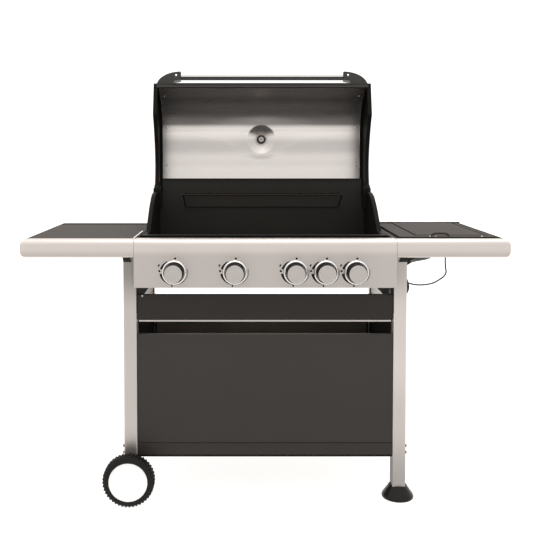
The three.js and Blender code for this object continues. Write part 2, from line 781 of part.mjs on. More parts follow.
function lid_skin() {
  const shell = prismX(bent(skinLine, sheet), -(boxInner - seat), boxInner - seat);
  const place = dishPlace();
  const opening = [[0, -12], [dishRadius - 1, -12], [dishRadius - 1, 12], [0, 12]];
  const hole = turned(opening, 20).transform(place);
  const dish = turned([
    [gaugeStemRadius + seat, dishRise - sheet], [gaugeWasherRadius + 2, dishRise - sheet],
    [dishRadius - sheet, 0], [dishRadius - sheet, -4], [dishRadius, -4],
    [dishRadius, 0.5], [gaugeWasherRadius + 3, dishRise], [gaugeStemRadius + seat, dishRise],
    [gaugeStemRadius + seat, dishRise - sheet],
  ], 20).transform(place);
  return join(cut(shell, hole), dish);
}

// Place of the thermometer's dish: on the skin's outer face, square to it.
function dishFrame() {
  const dishAt = lidFront + dishSetback;
  const i = skinLine.findIndex(([y]) => y > dishAt);
  const [y0, z0] = skinLine[i - 1];
  const [y1, z1] = skinLine[i];
  const share = (dishAt - y0) / (y1 - y0);
  return { y: dishAt, z: z0 + share * (z1 - z0), slope: Math.atan2(z1 - z0, y1 - y0) };
}
function dishPlace() {
  const { y, z, slope } = dishFrame();
  return new THREE.Matrix4().makeRotationX(slope).setPosition(0, y, z).toArray();
}
piece('lid_skin', lid_skin(), stainless, lid);

function lid_end(side) {
  const lobe = arc([hingeY, hingeZ], lobeRadius, pi, 2 * pi + 0.5, 12);
  const outline = [
    ...skinLine, [hingeY + 20, hingeZ + 33], ...lobe.reverse(), ...rimEdge.slice().reverse(),
  ];
  const [near, far] = across(side, boxInner, boxHalf);
  const full = prismX(outline, near, far);
  const top = offset(skinLine, capFlange + 2).filter(([y]) => y < hingeY + 30);
  const floor = lidLow + capFlange;
  const low = offset(rimEdge, -capFlange).filter(([y, z]) => y < hingeY - 50 && z > floor + 1).reverse();
  const pocketLine = [
    ...top.slice(2), ...low, [low.at(-1)[0] - 1, floor], [lidFront + capFlange + 3, floor],
  ];
  const pocket = prismX(pocketLine, ...across(side, boxInner - 1, boxHalf - capPlate));
  const hole = bar('x', pinRadius + running, ...across(side, boxInner - 2, boxHalf + 2), [hingeY, hingeZ]);
  return cut(full, pocket, hole);
}
for (const [hand, side] of sides) piece(`lid_end_${hand}`, lid_end(side), castAluminium, lid);

const handleFoot = prismX(
  [...offset(skinLine, -seat), [hingeY, hingeZ]],
  -boxHalf - 5,
  boxHalf + 5,
);
function handle_bracket(side) {
  const tip = handleY - handleRadius;
  const outer = [];
  const inner = [];
  const foot0 = lidFront + 20;
  for (let k = 0; k <= 8; k += 1) {
    const angle = (pi / 2) * (k / 8);
    const sweep = [Math.sin(angle), Math.cos(angle)];
    outer.push([handleHalf + (bracketReach - handleHalf) * sweep[0], foot0 - (foot0 - tip) * sweep[1]]);
    inner.push([handleHalf + 34 * sweep[0], foot0 - (foot0 - handleY - handleRadius) * sweep[1]]);
  }
  const outline = [...outer, ...inner.reverse()].map(([x, y]) => [side * x, y]);
  const arm = prismZ(outline, handleZ - bracketHalfHeight, handleZ + bracketHalfHeight);
  return cut(arm, handleFoot);
}
for (const [hand, side] of sides) piece(`handle_bracket_${hand}`, handle_bracket(side), blackPlastic, lid);
piece('handle_bar', bar(
  'x',
  handleRadius,
  -(handleHalf - seat),
  handleHalf - seat,
  [handleY, handleZ],
), chrome, lid);

const gauge = new THREE.Group();
const gaugeFrame = dishFrame();
gauge.position.set(0, gaugeFrame.y, gaugeFrame.z);
gauge.rotation.x = gaugeFrame.slope;
lid.add(gauge);
const gaugeFloor = dishRise + seat;
const washerTop = dishRise - sheet - seat;
const washerLow = washerTop - gaugeWasherThick;
const nutLow = washerLow - gaugeNutThick;
const dialLevel = gaugeFloor + gaugeHeight - gaugeDialDepth;

piece('thermometer', turned([
  [0, nutLow - probeLength], [probeRadius, nutLow - probeLength], [probeRadius, nutLow],
  [gaugeNutRadius, nutLow], [gaugeNutRadius, washerLow], [gaugeWasherRadius, washerLow],
  [gaugeWasherRadius, washerTop], [gaugeStemRadius, washerTop], [gaugeStemRadius, gaugeFloor],
  [gaugeRadius - 4, gaugeFloor], [gaugeRadius, gaugeFloor + 4], [gaugeRadius, gaugeFloor + gaugeHeight],
  [gaugeRadius - gaugeWall, gaugeFloor + gaugeHeight], [gaugeRadius - gaugeWall, dialLevel],
  [1.5, dialLevel], [1.5, dialLevel + 3], [0, dialLevel + 3],
], 18), dialWhite, gauge);

function needle() {
  const low = dialLevel + 0.8;
  const arrow = prismZ([[-1.5, -6], [1.5, -6], [0.6, needleLength], [-0.6, needleLength]], low, low + 0.8);
  const eye = bar('z', 4, low, low + 0.8, [0, 0], 16);
  const pivot = bar('z', 1.5 + seat, low - 1, low + 2, [0, 0], 12);
  return cut(join(arrow, eye), pivot).rotate([0, 0, needleRest]);
}
piece('thermometer_needle', needle(), redPaint, gauge);

// ---------------------------------------------------------------- side shelves
const hasBurner = (side) => side > 0;
const wellX = [legOuter + 10, deckOuter - wellInset + 10];
const wellY = [deckFront + wellInset - 14, deckRear - wellInset + 8];
const wellMiddle = [(wellX[0] + wellX[1]) / 2, (wellY[0] + wellY[1]) / 2];
const rimLow = shelfTop + seat;
const rimHigh = rimLow + sheet;
const coverLow = rimHigh + seat;
const coverX = [wellX[0] - wellRim + 2, wellX[1] + wellRim - 2];
const coverY = [wellY[0] - wellRim, wellY[1] + wellRim - 2];
const coverPin = { y: coverY[1] + coverPinSetback, z: coverLow + coverPlate / 2 };
const knuckles = [-1, 1].map((s) => wellMiddle[0] + s * knuckleSpread);

// Hinge of the side burner's cover: a pin between two ears that stand on the deck.
function cover_hinge(x) {
  const reach = knuckleHalf + running;
  const span = [x - reach - coverEar, x + reach + coverEar];
  const pin = bar('x', coverPinRadius, ...span, [coverPin.y, coverPin.z], 12);
  const ears = [-1, 1].map((s) => block(
    [x + s * reach, x + s * (reach + coverEar)].sort((a, b) => a - b),
    [coverPin.y - 4, coverPin.y + 4],
    [shelfTop - 0.5, coverPin.z + coverBarrelRadius],
  ));
  return join(pin, ...ears);
}

function shelf_deck(side) {
  const x = across(side, deckInner, deckOuter);
  const z = [shelfTop - deckFlange, shelfTop];
  let deck = pan(x, [deckFront, deckRear], z, sheet, 'below');
  for (const front of [legFront, rearLegFront]) {
    deck = deck.subtract(block(
      across(side, deckInner - 1, legOuter + seat),
      [front - seat, front + legSize + seat],
      [z[0] - 1, shelfTop - sheet],
    ));
    const slope = [
      [legOuter + seat, z[0] + 4], [legOuter + seat, z[0] - gussetDrop], [legOuter + gussetReach, z[0] + 4],
    ].map(([a, b]) => [side * a, b]);
    const gussetFront = front + (legSize - gussetThick) / 2;
    const gusset = prismY(slope, gussetFront, gussetFront + gussetThick);
    const fix = block(
      across(side, legOuter + seat, legOuter + seat + 2),
      [gussetFront, gussetFront + gussetThick],
      [z[0], shelfTop - 0.5],
    );
    deck = join(deck, gusset, fix);
  }
  if (!hasBurner(side)) return deck;
  const well = block(wellX, wellY, [shelfTop - sheet - 1, shelfTop + 1]);
  return join(cut(deck, well), ...knuckles.map(cover_hinge));
}
for (const [hand, side] of sides) piece(`shelf_deck_${hand}`, shelf_deck(side), shelfPaint);

// Fascia: rounded front, hollow behind, its outer end closed and rounded.
function fascia(side) {
  const low = fasciaTop - fasciaHeight;
  const skin = (wall, depth) => {
    const r = panelRound - wall;
    const side0 = [
      [depth, low + wall], [depth, fasciaTop - wall],
      ...arc([panelRound, fasciaTop - panelRound], r, pi / 2, pi, 5),
      ...arc([6, low + 6], 6 - wall, pi, 1.5 * pi, 3),
    ];
    const c = fasciaCorner - wall;
    const inner0 = panelHalf + seam / 2 + wall;
    const front = [
      [inner0, low + wall], ...arc([fasciaEnd - fasciaCorner, low + fasciaCorner], c, -pi / 2, 0, 5),
      ...arc([fasciaEnd - fasciaCorner, fasciaTop - fasciaCorner], c, 0, pi / 2, 5),
      [inner0, fasciaTop - wall],
    ].map(([x, z]) => [side * x, z]);
    return prismX(side0, ...across(side, panelHalf, fasciaEnd + 1)).intersect(prismY(front, -1, depth));
  };
  const legNotch = block(
    across(side, legInner - 1, legOuter + seat),
    [legFront - seat, fasciaDepth + 1],
    [low - 1, fasciaTop - fasciaWall],
  );
  return cut(skin(0, fasciaDepth), skin(fasciaWall, fasciaDepth + 1), legNotch);
}
for (const [hand, side] of sides) piece(`shelf_fascia_${hand}`, fascia(side), silverPaint);

// ---------------------------------------------------------------- side burner under its cover
const bowlFloor = shelfTop - wellDepth;
const trivetLow = rimHigh - 8;
const trivetArms = [-1, 1].map((s) => wellMiddle[1] + s * (potRadius + trivetReach / 2));

const ventHeight = bowlFloor - ventDrop;
const hoseEnd = [370, 64, ventHeight];
const wireExit = [489, 70, bowlFloor - 6];

function side_burner() {
  const [x0, x1] = [wellX[0] + 1, wellX[1] - 1];
  const [y0, y1] = [wellY[0] + 1, wellY[1] - 1];
  const bowl = pan([x0, x1], [y0, y1], [bowlFloor, rimHigh], sheet, 'above');
  const rim = cut(
    block([x0 - wellRim, x1 + wellRim], [y0 - wellRim, y1 + wellRim], [rimLow, rimHigh]),
    block([x0 + 1, x1 - 1], [y0 + 1, y1 - 1], [rimLow - 1, rimHigh + 1]),
  );
  const pot = turned([
    [0, bowlFloor + 0.5], [potRadius - 8, bowlFloor + 0.5], [potRadius - 8, bowlFloor + potHeight - 10],
    [potRadius, bowlFloor + potHeight - 8], [potRadius, bowlFloor + potHeight - 3],
    [potRadius - 4, bowlFloor + potHeight], [0, bowlFloor + potHeight],
  ], 20).translate([wellMiddle[0], wellMiddle[1], 0]);
  const vent = wire([
    [wellMiddle[0], wellMiddle[1], bowlFloor + 1],
    [wellMiddle[0] - 2, wellMiddle[1] - 4, bowlFloor - 14],
    [wellMiddle[0] - 14, wellMiddle[1] - 24, ventHeight + 2],
    [hoseEnd[0] + 40, hoseEnd[1] + 60, ventHeight + 1],
    [hoseEnd[0] + 16, hoseEnd[1] + 10, ventHeight + 1],
  ], ventRadius, 8, 8);
  const elbow = block(
    [hoseEnd[0] - 8, hoseEnd[0] + 22],
    [hoseEnd[1] - 9, hoseEnd[1] + 14],
    [ventHeight + seat, ventHeight + 12],
  );
  const electrode = bar('z', 4, wireExit[2] + seat, bowlFloor + 0.5, [wireExit[0], wireExit[1]], 12);
  const rests = trivetArms.flatMap((y) => [[x0 + 1, x0 + 10], [x1 - 10, x1 - 1]].map((x) =>
    block(x, [y - trivetRest / 2, y + trivetRest / 2], [trivetLow - seat - sheet, trivetLow - seat])));
  return join(bowl, rim, pot, vent, elbow, electrode, ...rests);
}
piece('side_burner', side_burner(), blackEnamel);

function side_burner_trivet() {
  const z = [trivetLow, trivetLow + trivetBar];
  const half = (wellX[1] - wellX[0]) / 2 - 4;
  const ring = (radius, thick) => cut(
    bar('z', radius, z[0], z[1], wellMiddle, 20),
    bar('z', radius - thick, z[0] - 1, z[1] + 1, wellMiddle, 20),
  );
  const ringRadius = potRadius + trivetReach;
  let body = ring(ringRadius, trivetBar);
  const spokes = 6;
  for (let k = 0; k < spokes; k += 1) {
    const arm = block([trivetEye, ringRadius - trivetBar / 2], [-trivetBar / 2, trivetBar / 2], z);
    body = body.add(arm.rotate([0, 0, (360 * k) / spokes]).translate([wellMiddle[0], wellMiddle[1], 0]));
  }
  const reach = half + 1.2;
  for (const y of trivetArms) {
    const width = [y - trivetBar / 2, y + trivetBar / 2];
    body = body.add(block([wellMiddle[0] - reach, wellMiddle[0] + reach], width, z));
  }
  return body;
}
piece('side_burner_trivet', side_burner_trivet(), castIron);

function side_burner_cover() {
  const top = coverLow + coverPlate;
  const border = coverBorder;
  const plate = block(coverX, coverY, [coverLow, top]);
  const raised = prismX([
    [coverY[0] + border, top - 0.5], [coverY[0] + border + 5, top + coverRise],
    [coverY[1] - border - 5, top + coverRise], [coverY[1] - border, top - 0.5],
  ], coverX[0] + border, coverX[1] - border);
  const gripLine = [[-1, 0, -0.6], [-0.85, -2, coverHandleRise], [0.85, -2, coverHandleRise], [1, 0, -0.6]];
  const grip = wire(gripLine.map(([along, back, up]) => [
    wellMiddle[0] - coverHandleShift + along * coverHandleHalf,
    coverY[0] + coverHandleInset + back,
    top + up,
  ]), coverHandleWire, 8, 8);
  let body = join(plate, raised, grip);
  for (const x of knuckles) {
    const span = [x - knuckleHalf, x + knuckleHalf];
    const strap = block(span, [coverY[1] - 1, coverPin.y], [coverLow + 0.5, top]);
    const barrel = bar('x', coverBarrelRadius, ...span, [coverPin.y, coverPin.z], 14);
    body = join(body, strap, barrel);
  }
  const bores = knuckles.map((x) => bar(
    'x',
    coverPinRadius + running,
    x - knuckleHalf - 1,
    x + knuckleHalf + 1,
    [coverPin.y, coverPin.z],
    14,
  ));
  return cut(body, ...bores);
}
piece('side_burner_cover', side_burner_cover(), shelfPaint);

// ---------------------------------------------------------------- hose and igniter wire
const valveSide = sideValve + valveWidth / 2;
piece('side_burner_hose', wire([
  [valveSide + 6 + seat, 44, 604], [183, 44, 604], [189.5, 44, 602.5], [206, 43, 594], [222, 43, 580],
  [240, 43, 571], [262, 45, 571], [284, 49, 579], [304, 54, 586], [321, 59, 584], [334, 61, 572],
  [342, 61, 556], [350, 61, 543], [361, 61, 536], [373, 61, 538], [382, 61, 547], [387, 61, 561],
  [384, 61, 577], [377, 62, 592], [371, 63, 607], [370, 64, 618], hoseEnd,
], hoseRadius, cordSides, 40), blackRubber);
piece('igniter_wire', wire([
  wireExit, [489, 70, 632], [489.5, 69, 614], [491, 68, 603], [486, 67, 592], [473, 66, 582],
  [455, 67, 572], [430, 69, 567], [405, 71, 567.5], [385, 72, 573], [362, 72, 580], [341, 72, 585],
  [318, 69, 592], [296, 62, 600], [277, 50, 607], [263, 46, 610], [258, 46, 610],
  [valves[4] + valveWidth / 2 + seat, 46, 610],
], wireRadius, cordSides, 40), blackRubber);

// ---------------------------------------------------------------- origin: middle of the footprint
const bounds = new THREE.Box3().setFromObject(grill, true);
grill.position.set(-(bounds.min.x + bounds.max.x) / 2, -(bounds.min.y + bounds.max.y) / 2, 0);

export default grill;
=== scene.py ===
"""Looks of the gas barbecue grill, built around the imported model. Metres, x right, y back, z up."""
import json
import math

import bmesh
import bpy
from mathutils import Matrix, Vector


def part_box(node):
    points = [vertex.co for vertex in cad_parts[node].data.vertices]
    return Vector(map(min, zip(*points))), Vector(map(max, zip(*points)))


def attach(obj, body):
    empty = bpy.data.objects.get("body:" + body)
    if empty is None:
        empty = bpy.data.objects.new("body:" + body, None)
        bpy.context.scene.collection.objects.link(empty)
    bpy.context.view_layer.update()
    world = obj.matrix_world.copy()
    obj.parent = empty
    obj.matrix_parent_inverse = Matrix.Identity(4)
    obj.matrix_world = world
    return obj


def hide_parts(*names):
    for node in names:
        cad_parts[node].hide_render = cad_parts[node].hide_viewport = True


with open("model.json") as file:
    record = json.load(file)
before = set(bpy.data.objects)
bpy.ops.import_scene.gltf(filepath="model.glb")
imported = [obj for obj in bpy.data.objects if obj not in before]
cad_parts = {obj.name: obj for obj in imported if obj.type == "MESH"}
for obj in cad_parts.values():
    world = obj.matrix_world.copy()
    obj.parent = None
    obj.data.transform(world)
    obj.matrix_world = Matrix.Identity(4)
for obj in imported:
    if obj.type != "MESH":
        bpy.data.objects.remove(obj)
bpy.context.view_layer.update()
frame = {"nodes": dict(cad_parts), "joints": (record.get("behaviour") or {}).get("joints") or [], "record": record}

MM = 0.001
TAU = 2 * math.pi
SHEET = 1.5 * MM  # thickness of the sheet steel
SKIN = 0.15 * MM  # how far a printed mark stands off what it is printed on

JOINTS = {joint["name"]: joint for joint in frame["joints"]}
SLOT_OF = {part["node"]: part["material_slot"] for part in frame["record"]["subparts"]}
KNOBS = ("1", "2", "3", "side", "4")
HANDS = {"left": -1, "right": 1}  # each with the sign of its x

# Working lengths in y are measured from the front face of the shelves' fascias.
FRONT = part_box("shelf_fascia_left")[0].y


# ---------------------------------------- camera
CAMERA_AT = (-0.0524, FRONT - 2.0155, 0.9351)
LOOKING_DOWN = 2.5  # degrees


def make_camera():
    """Camera of the photo, with its lens shifted towards the grill's middle."""
    data = bpy.data.cameras.new("camera")
    data.sensor_width = 36.0
    data.lens = 50.7
    data.shift_x = 0.054
    data.shift_y = -0.168
    camera = bpy.data.objects.new("camera", data)
    camera.location = CAMERA_AT
    camera.rotation_euler = (math.radians(90 - LOOKING_DOWN), 0, 0)
    bpy.context.scene.collection.objects.link(camera)
    bpy.context.scene.camera = camera


make_camera()


# ---------------------------------------- shader nodes
def fill(tree, node, inputs):
    """Set a node's inputs to constants, or link them to sockets."""
    for key, value in inputs.items():
        if isinstance(value, bpy.types.NodeSocket):
            tree.links.new(value, node.inputs[key])
        else:
            node.inputs[key].default_value = value


def new_node(tree, kind, inputs=None, **settings):
    node = tree.nodes.new(f"ShaderNode{kind}")
    for key, value in settings.items():
        setattr(node, key, value)
    fill(tree, node, inputs or {})
    return node


def axes(tree, coordinate="Object"):
    """The x, y and z sockets of a texture coordinate."""
    place = new_node(tree, "TexCoord").outputs[coordinate]
    return new_node(tree, "SeparateXYZ", {"Vector": place}).outputs


def ramp(tree, value, low, high, at_low, at_high, ease_in="SMOOTHSTEP"):
    """Socket that goes from at_low to at_high while the value goes from low to high, level past both."""
    limits = {"From Min": low, "From Max": high, "To Min": at_low, "To Max": at_high}
    mapped = new_node(tree, "MapRange", {"Value": value, **limits}, interpolation_type=ease_in)
    return mapped.outputs["Result"]


def calculate(tree, operation, first, second):
    return new_node(tree, "Math", {0: first, 1: second}, operation=operation).outputs["Value"]


def new_material(name):
    """Material with its node tree and its shader."""
    material = bpy.data.materials.new(name)
    material.use_nodes = True
    return material, material.node_tree, material.node_tree.nodes["Principled BSDF"]


# ---------------------------------------- materials
LOOKS = {}
SMOOTHEST = 0.03  # no surface is more polished than this


def finish(
    name, color, roughness, metallic=0.0, tint=0.06, spread=0.05, grain=500.0, stretch=(1, 1, 1), bump=0.1,
    cloud=7.0, coat=0.0, specular=0.5,
):
    """Procedural surface: a cloudy tint, and a fine grain in the roughness and as a shallow bump."""
    material, tree, shader = new_material(name)
    place = new_node(tree, "TexCoord").outputs["Object"]

    def noise(scale, detail, shape):
        mapped = new_node(tree, "Mapping", {"Vector": place, "Scale": shape}).outputs["Vector"]
        return new_node(tree, "TexNoise", {"Vector": mapped, "Scale": scale, "Detail": detail}).outputs["Fac"]

    broad = noise(cloud, 3.0, (1, 1, 1))
    fine = noise(grain, 5.0, stretch)
    dark, light = ((*[min(1.0, c * share) for c in color], 1) for share in (1 - tint, 1 + tint))
    mix = new_node(tree, "Mix", {"Factor": broad, "A": dark, "B": light}, data_type="RGBA")
    relief = new_node(tree, "Bump", {"Strength": bump, "Distance": 0.3 * MM, "Height": fine})
    smooth, coarse = max(SMOOTHEST, roughness - spread), roughness + spread
    fill(tree, shader, {
        "Base Color": mix.outputs["Result"],
        "Metallic": metallic,
        "Roughness": ramp(tree, fine, 0.3, 0.7, smooth, coarse, "LINEAR"),
        "Coat Weight": coat,
        "Specular IOR Level": specular,
        "Normal": relief.outputs["Normal"],
    })
    LOOKS[name] = material


def shade(name, low, high, at_low, at_high):
    """Scale a finish's colour between two heights of the grill at rest: painted light or shade."""
    tree = LOOKS[name].node_tree
    color = tree.nodes["Principled BSDF"].inputs["Base Color"]
    share = ramp(tree, axes(tree)["Z"], low, high, at_low, at_high)
    scaled = new_node(tree, "VectorMath", {0: color.links[0].from_socket, "Scale": share}, operation="SCALE")
    tree.links.new(scaled.outputs["Vector"], color)


BRUSHED = {"tint": 0.03, "grain": 420, "stretch": (0.02, 1, 1)}
POWDER = {"grain": 1400, "bump": 0.16}
SILVER = {"tint": 0.02, "grain": 900, "bump": 0.04}


def make_metals():
    finish("stainless", (0.84, 0.80, 0.775), 0.22, 1.0, spread=0.02, bump=0.012, **BRUSHED)
    finish("burner_steel", (0.40, 0.33, 0.26), 0.38, 1.0, tint=0.25, grain=300, cloud=25)
    finish("chrome", (0.88, 0.865, 0.85), 0.10, 1.0, tint=0.02, spread=0.03, bump=0.01)
    finish("zinc", (0.55, 0.54, 0.52), 0.42, 0.95, tint=0.12, grain=180, cloud=60)
    finish("brass", (0.58, 0.40, 0.17), 0.32, 1.0, tint=0.1, grain=300)
    finish("satin_face", (0.56, 0.525, 0.50), 0.34, 0.85, tint=0.03, grain=500, bump=0.08)


def make_dark_paints():
    finish("graphite_paint", (0.032, 0.027, 0.024), 0.5, specular=0.35, **POWDER)
    # Darker copy of the graphite paint: painted shade on the valance under the control panel and on the bottom
    # shelf.
    finish("graphite_shaded", (0.022, 0.0185, 0.016), 0.5, specular=0.25, **POWDER)
    # Copy of the graphite paint for the front panel, with painted shade: darker towards its bottom.
    finish("graphite_front_shaded", (0.034, 0.029, 0.0255), 0.5, specular=0.3, **POWDER)
    shade("graphite_front_shaded", 0.15, 0.42, 0.7, 1.0)
    finish("panel_shadow", (0.020, 0.0175, 0.0155), 0.7, specular=0.04, **POWDER)
    finish("shelf_paint", (0.047, 0.040, 0.0355), 0.62, specular=0.05, **POWDER)
    finish("edge_black", (0.026, 0.023, 0.0205), 0.7, specular=0.0, **POWDER)
    finish("cap_black", (0.010, 0.009, 0.008), 0.6, tint=0.1, grain=900, specular=0.06)
    finish("black_enamel", (0.015, 0.0125, 0.010), 0.5, grain=700, tint=0.2, specular=0.25)
    finish("cast_aluminium", (0.0105, 0.009, 0.0078), 0.55, grain=420, bump=0.3, tint=0.15, specular=0.04)
    finish("cast_iron", (0.010, 0.009, 0.008), 0.65, grain=260, bump=0.5, tint=0.2, specular=0.2)
    # pale grey for painted light inside the cart
    finish("painted_light_grey", (0.36, 0.32, 0.27), 0.8, grain=300, specular=0.1)


def make_plastics():
    finish("black_plastic", (0.017, 0.015, 0.013), 0.3, grain=900, bump=0.05, coat=0.04, specular=0.35)
    finish("foot_plastic", (0.0115, 0.010, 0.009), 0.2, grain=900, bump=0.04, specular=0.16)
    finish("wheel_rubber", (0.012, 0.011, 0.010), 0.55, bump=0.25, tint=0.15, specular=0.12)
    finish("black_rubber", (0.022, 0.021, 0.020), 0.5, grain=600, bump=0.2)
    finish("hub_silver", (0.86, 0.86, 0.85), 0.30, tint=0.02, grain=600, bump=0.03, coat=0.2)


def make_dial_paints():
    finish("dial", (0.70, 0.68, 0.65), 0.35, tint=0.03, grain=300)
    finish("needle_paint", (0.45, 0.03, 0.015), 0.35, tint=0.05, grain=300)
    finish("ink", (0.012, 0.010, 0.009), 0.6, tint=0.1, grain=900, specular=0.1)


def make_lid_steel():
    """Inside of the lid: painted reflection and painted shade, as lighter and darker bands on the brushed steel.
    """
    finish("painted_reflection_steel", (0.84, 0.795, 0.77), 0.285, 0.92, spread=0.014, bump=0.005, **BRUSHED)
    # Painted reflection by height: a dark band, a light band above it, then darker towards the top of the open
    # lid.
    bands = ((0.905, 0.940, 0.80), (0.952, 0.982, 1.40), (0.990, 1.030, 0.84), (1.045, 1.10, 0.76))
    for low, high, share in bands:
        shade("painted_reflection_steel", low, high, 1.0, share)


def make_silver_paints():
    """Paint of the panel and fascias with a painted highlight above their lower bend and painted shade at their
    top, and of the legs with painted light and shade in stages.
    """
    finish("panel_paint_with_painted_light", (0.58, 0.535, 0.508), 0.43, 0.85, **SILVER)
    # Painted highlight: brighter above the lower bend of the fascias' round top, then painted shade at the very
    # top.
    shade("panel_paint_with_painted_light", 0.652, 0.674, 1.0, 1.26)
    shade("panel_paint_with_painted_light", 0.680, 0.692, 1.0, 0.70)
    # Dark copy of the leg paint: painted shadow on the inner side of the right leg below the bottom shelf.
    finish("leg_side_shadow", (0.17, 0.15, 0.14), 0.5, 0.6, tint=0.03, grain=900, bump=0.04)
    # Painted light and shade on the legs: darker near the floor, lighter from the middle up, darker under the
    # shelves; left and right legs get different amounts.
    for hand, middle, top in (("left", 1.16, 0.53), ("right", 1.38, 0.72)):
        finish(f"leg_paint_with_painted_light_{hand}", (0.53, 0.492, 0.468), 0.40, 0.85, **SILVER)
        shade(f"leg_paint_with_painted_light_{hand}", 0.05, 0.22, 0.62, 1.0)
        shade(f"leg_paint_with_painted_light_{hand}", 0.20, 0.38, 1.0, middle)
        shade(f"leg_paint_with_painted_light_{hand}", 0.50, 0.62, 1.0, top)


def make_glass():
    """Clear glass with a faint smear."""
    material, tree, shader = new_material("glass")
    smear = new_node(tree, "TexNoise", {"Scale": 60.0}).outputs["Fac"]
    fill(tree, shader, {
        "Base Color": (0.97, 0.98, 0.97, 1),
        "Roughness": ramp(tree, smear, 0.0, 1.0, 0.02, 0.07, "LINEAR"),
        "IOR": 1.45,
        "Transmission Weight": 1.0,
    })
    LOOKS["glass"] = material


make_metals()
make_dark_paints()
make_plastics()
make_dial_paints()
make_lid_steel()
make_silver_paints()
make_glass()


# ---------------------------------------- mesh helpers
def piece(name, bm, look, body, slot=None, replaces=(), crease=38, bevel=0.0):
    """A mesh piece that rides on a body, smooth except where its faces meet at more than the crease angle."""
    bmesh.ops.remove_doubles(bm, verts=bm.verts, dist=1e-6)
    bmesh.ops.recalc_face_normals(bm, faces=bm.faces)

    def folded(edge):
        return len(edge.link_faces) == 2 and edge.calc_face_angle(0) > math.radians(crease)

    if bevel:
        bmesh.ops.bevel(
            bm, geom=[edge for edge in bm.edges if folded(edge)], offset=bevel, segments=2, profile=0.5,
            affect="EDGES", clamp_overlap=True,
        )
    for face in bm.faces:
        face.smooth = True
    for edge in bm.edges:
        edge.smooth = not folded(edge)
    mesh = bpy.data.meshes.new(name)
    bm.to_mesh(mesh)
    bm.free()
    item = bpy.data.objects.new(name, mesh)
    bpy.context.scene.collection.objects.link(item)
    item.data.materials.append(LOOKS[look])
    if bevel:
        item.modifiers.new("normals", "WEIGHTED_NORMAL").keep_sharp = True
    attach(item, body)
    if replaces:
        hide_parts(*replaces)


def merged(*parts):
    """Several bmeshes as one."""
    whole = bmesh.new()
    for part in parts:
        scratch = bpy.data.meshes.new("scratch")
        part.to_mesh(scratch)
        part.free()
        whole.from_mesh(scratch)
        bpy.data.meshes.remove(scratch)
    return whole


def placed(bm, matrix):
    bmesh.ops.transform(bm, matrix=matrix, verts=bm.verts)
    return bm


def basis(origin, along, up=None):
    """Matrix at origin with its z axis along a direction and its x axis square to up."""
    z = Vector(along).normalized()
    if up is None:
        up = (0, 0, 1) if abs(z.z) < 0.9 else (1, 0, 0)
    x = Vector(up).cross(z).normalized()
    y = z.cross(x)
    return Matrix.Translation(origin) @ Matrix((x, y, z)).transposed().to_4x4()


def ring_faces(bm, a, b):
    """Faces between two closed rings of vertices."""
    for k in range(len(a)):
        n = (k + 1) % len(a)
        bm.faces.new((a[k], a[n], b[n], b[k]))


def lathe(profile, sides, swell=None):
    """Turned body about z, its profile (radius, height) in millimetres. swell(side, ring) scales a radius."""
    bm = bmesh.new()
    rings = []
    for i, (radius, height) in enumerate(profile):
        ring = []
        for k in range(sides if radius else 1):
            angle = TAU * k / sides
            r = radius * MM * (swell(k, i) if swell else 1)
            ring.append(bm.verts.new((r * math.cos(angle), r * math.sin(angle), height * MM)))
        rings.append(ring)
    for a, b in zip(rings, rings[1:]):
        if len(a) == len(b):
            ring_faces(bm, a, b)
            continue
        tip, ring = (a[0], b) if len(a) == 1 else (b[0], a)
        for k in range(sides):
            bm.faces.new((tip, ring[k], ring[(k + 1) % sides]))
    return bm


def arc(centre, radius, start, end, steps):
    """Points of an arc, angles in degrees."""
    points = []
    for k in range(steps + 1):
        angle = math.radians(start + (end - start) * k / steps)
        points.append((centre[0] + radius * math.cos(angle), centre[1] + radius * math.sin(angle)))
    return points


def prism(outline, low, high, axis="z"):
    """Outline pushed from low to high along an axis. For x it holds (y, z), for y (x, z), for z (x, y)."""
    bm = bmesh.new()
    spot = {
        "x": lambda a, b, t: (t, a, b),
        "y": lambda a, b, t: (a, t, b),
        "z": lambda a, b, t: (a, b, t),
    }[axis]
    first, last = ([bm.verts.new(spot(a, b, level)) for a, b in outline] for level in (low, high))
    bm.faces.new(first)
    bm.faces.new(last)
    ring_faces(bm, first, last)
    return bm


def block(x, y, z):
    """Box between two places along each axis, given in either order."""
    (x0, x1), (y0, y1), (z0, z1) = sorted(x), sorted(y), sorted(z)
    return prism([(x0, y0), (x1, y0), (x1, y1), (x0, y1)], z0, z1)


def span(origin, start, end):
    """Range given in millimetres from an origin."""
    return origin + start * MM, origin + end * MM


def inset(low, high, after, before):
    """Range that starts after low and ends before high, by so many millimetres."""
    return low + after * MM, high - before * MM


def strip(name, x, y, z, look, slot=None, body="cart", bevel=0.0):
    """Rectangular piece between two places along each axis."""
    piece(name, block(x, y, z), look, body, slot, bevel=bevel)


def tube(start, end, radius, sides):
    """Round bar between two points."""
    start, end = Vector(start), Vector(end)
    direction = (end - start).normalized()
    side = direction.orthogonal().normalized()
    up = direction.cross(side)
    around = [TAU * k / sides for k in range(sides)]
    bm = bmesh.new()
    first, last = (
        [bm.verts.new(at + radius * (side * math.cos(angle) + up * math.sin(angle))) for angle in around]
        for at in (start, end)
    )
    ring_faces(bm, first, last)
    bm.faces.new(first)
    bm.faces.new(last)
    return bm


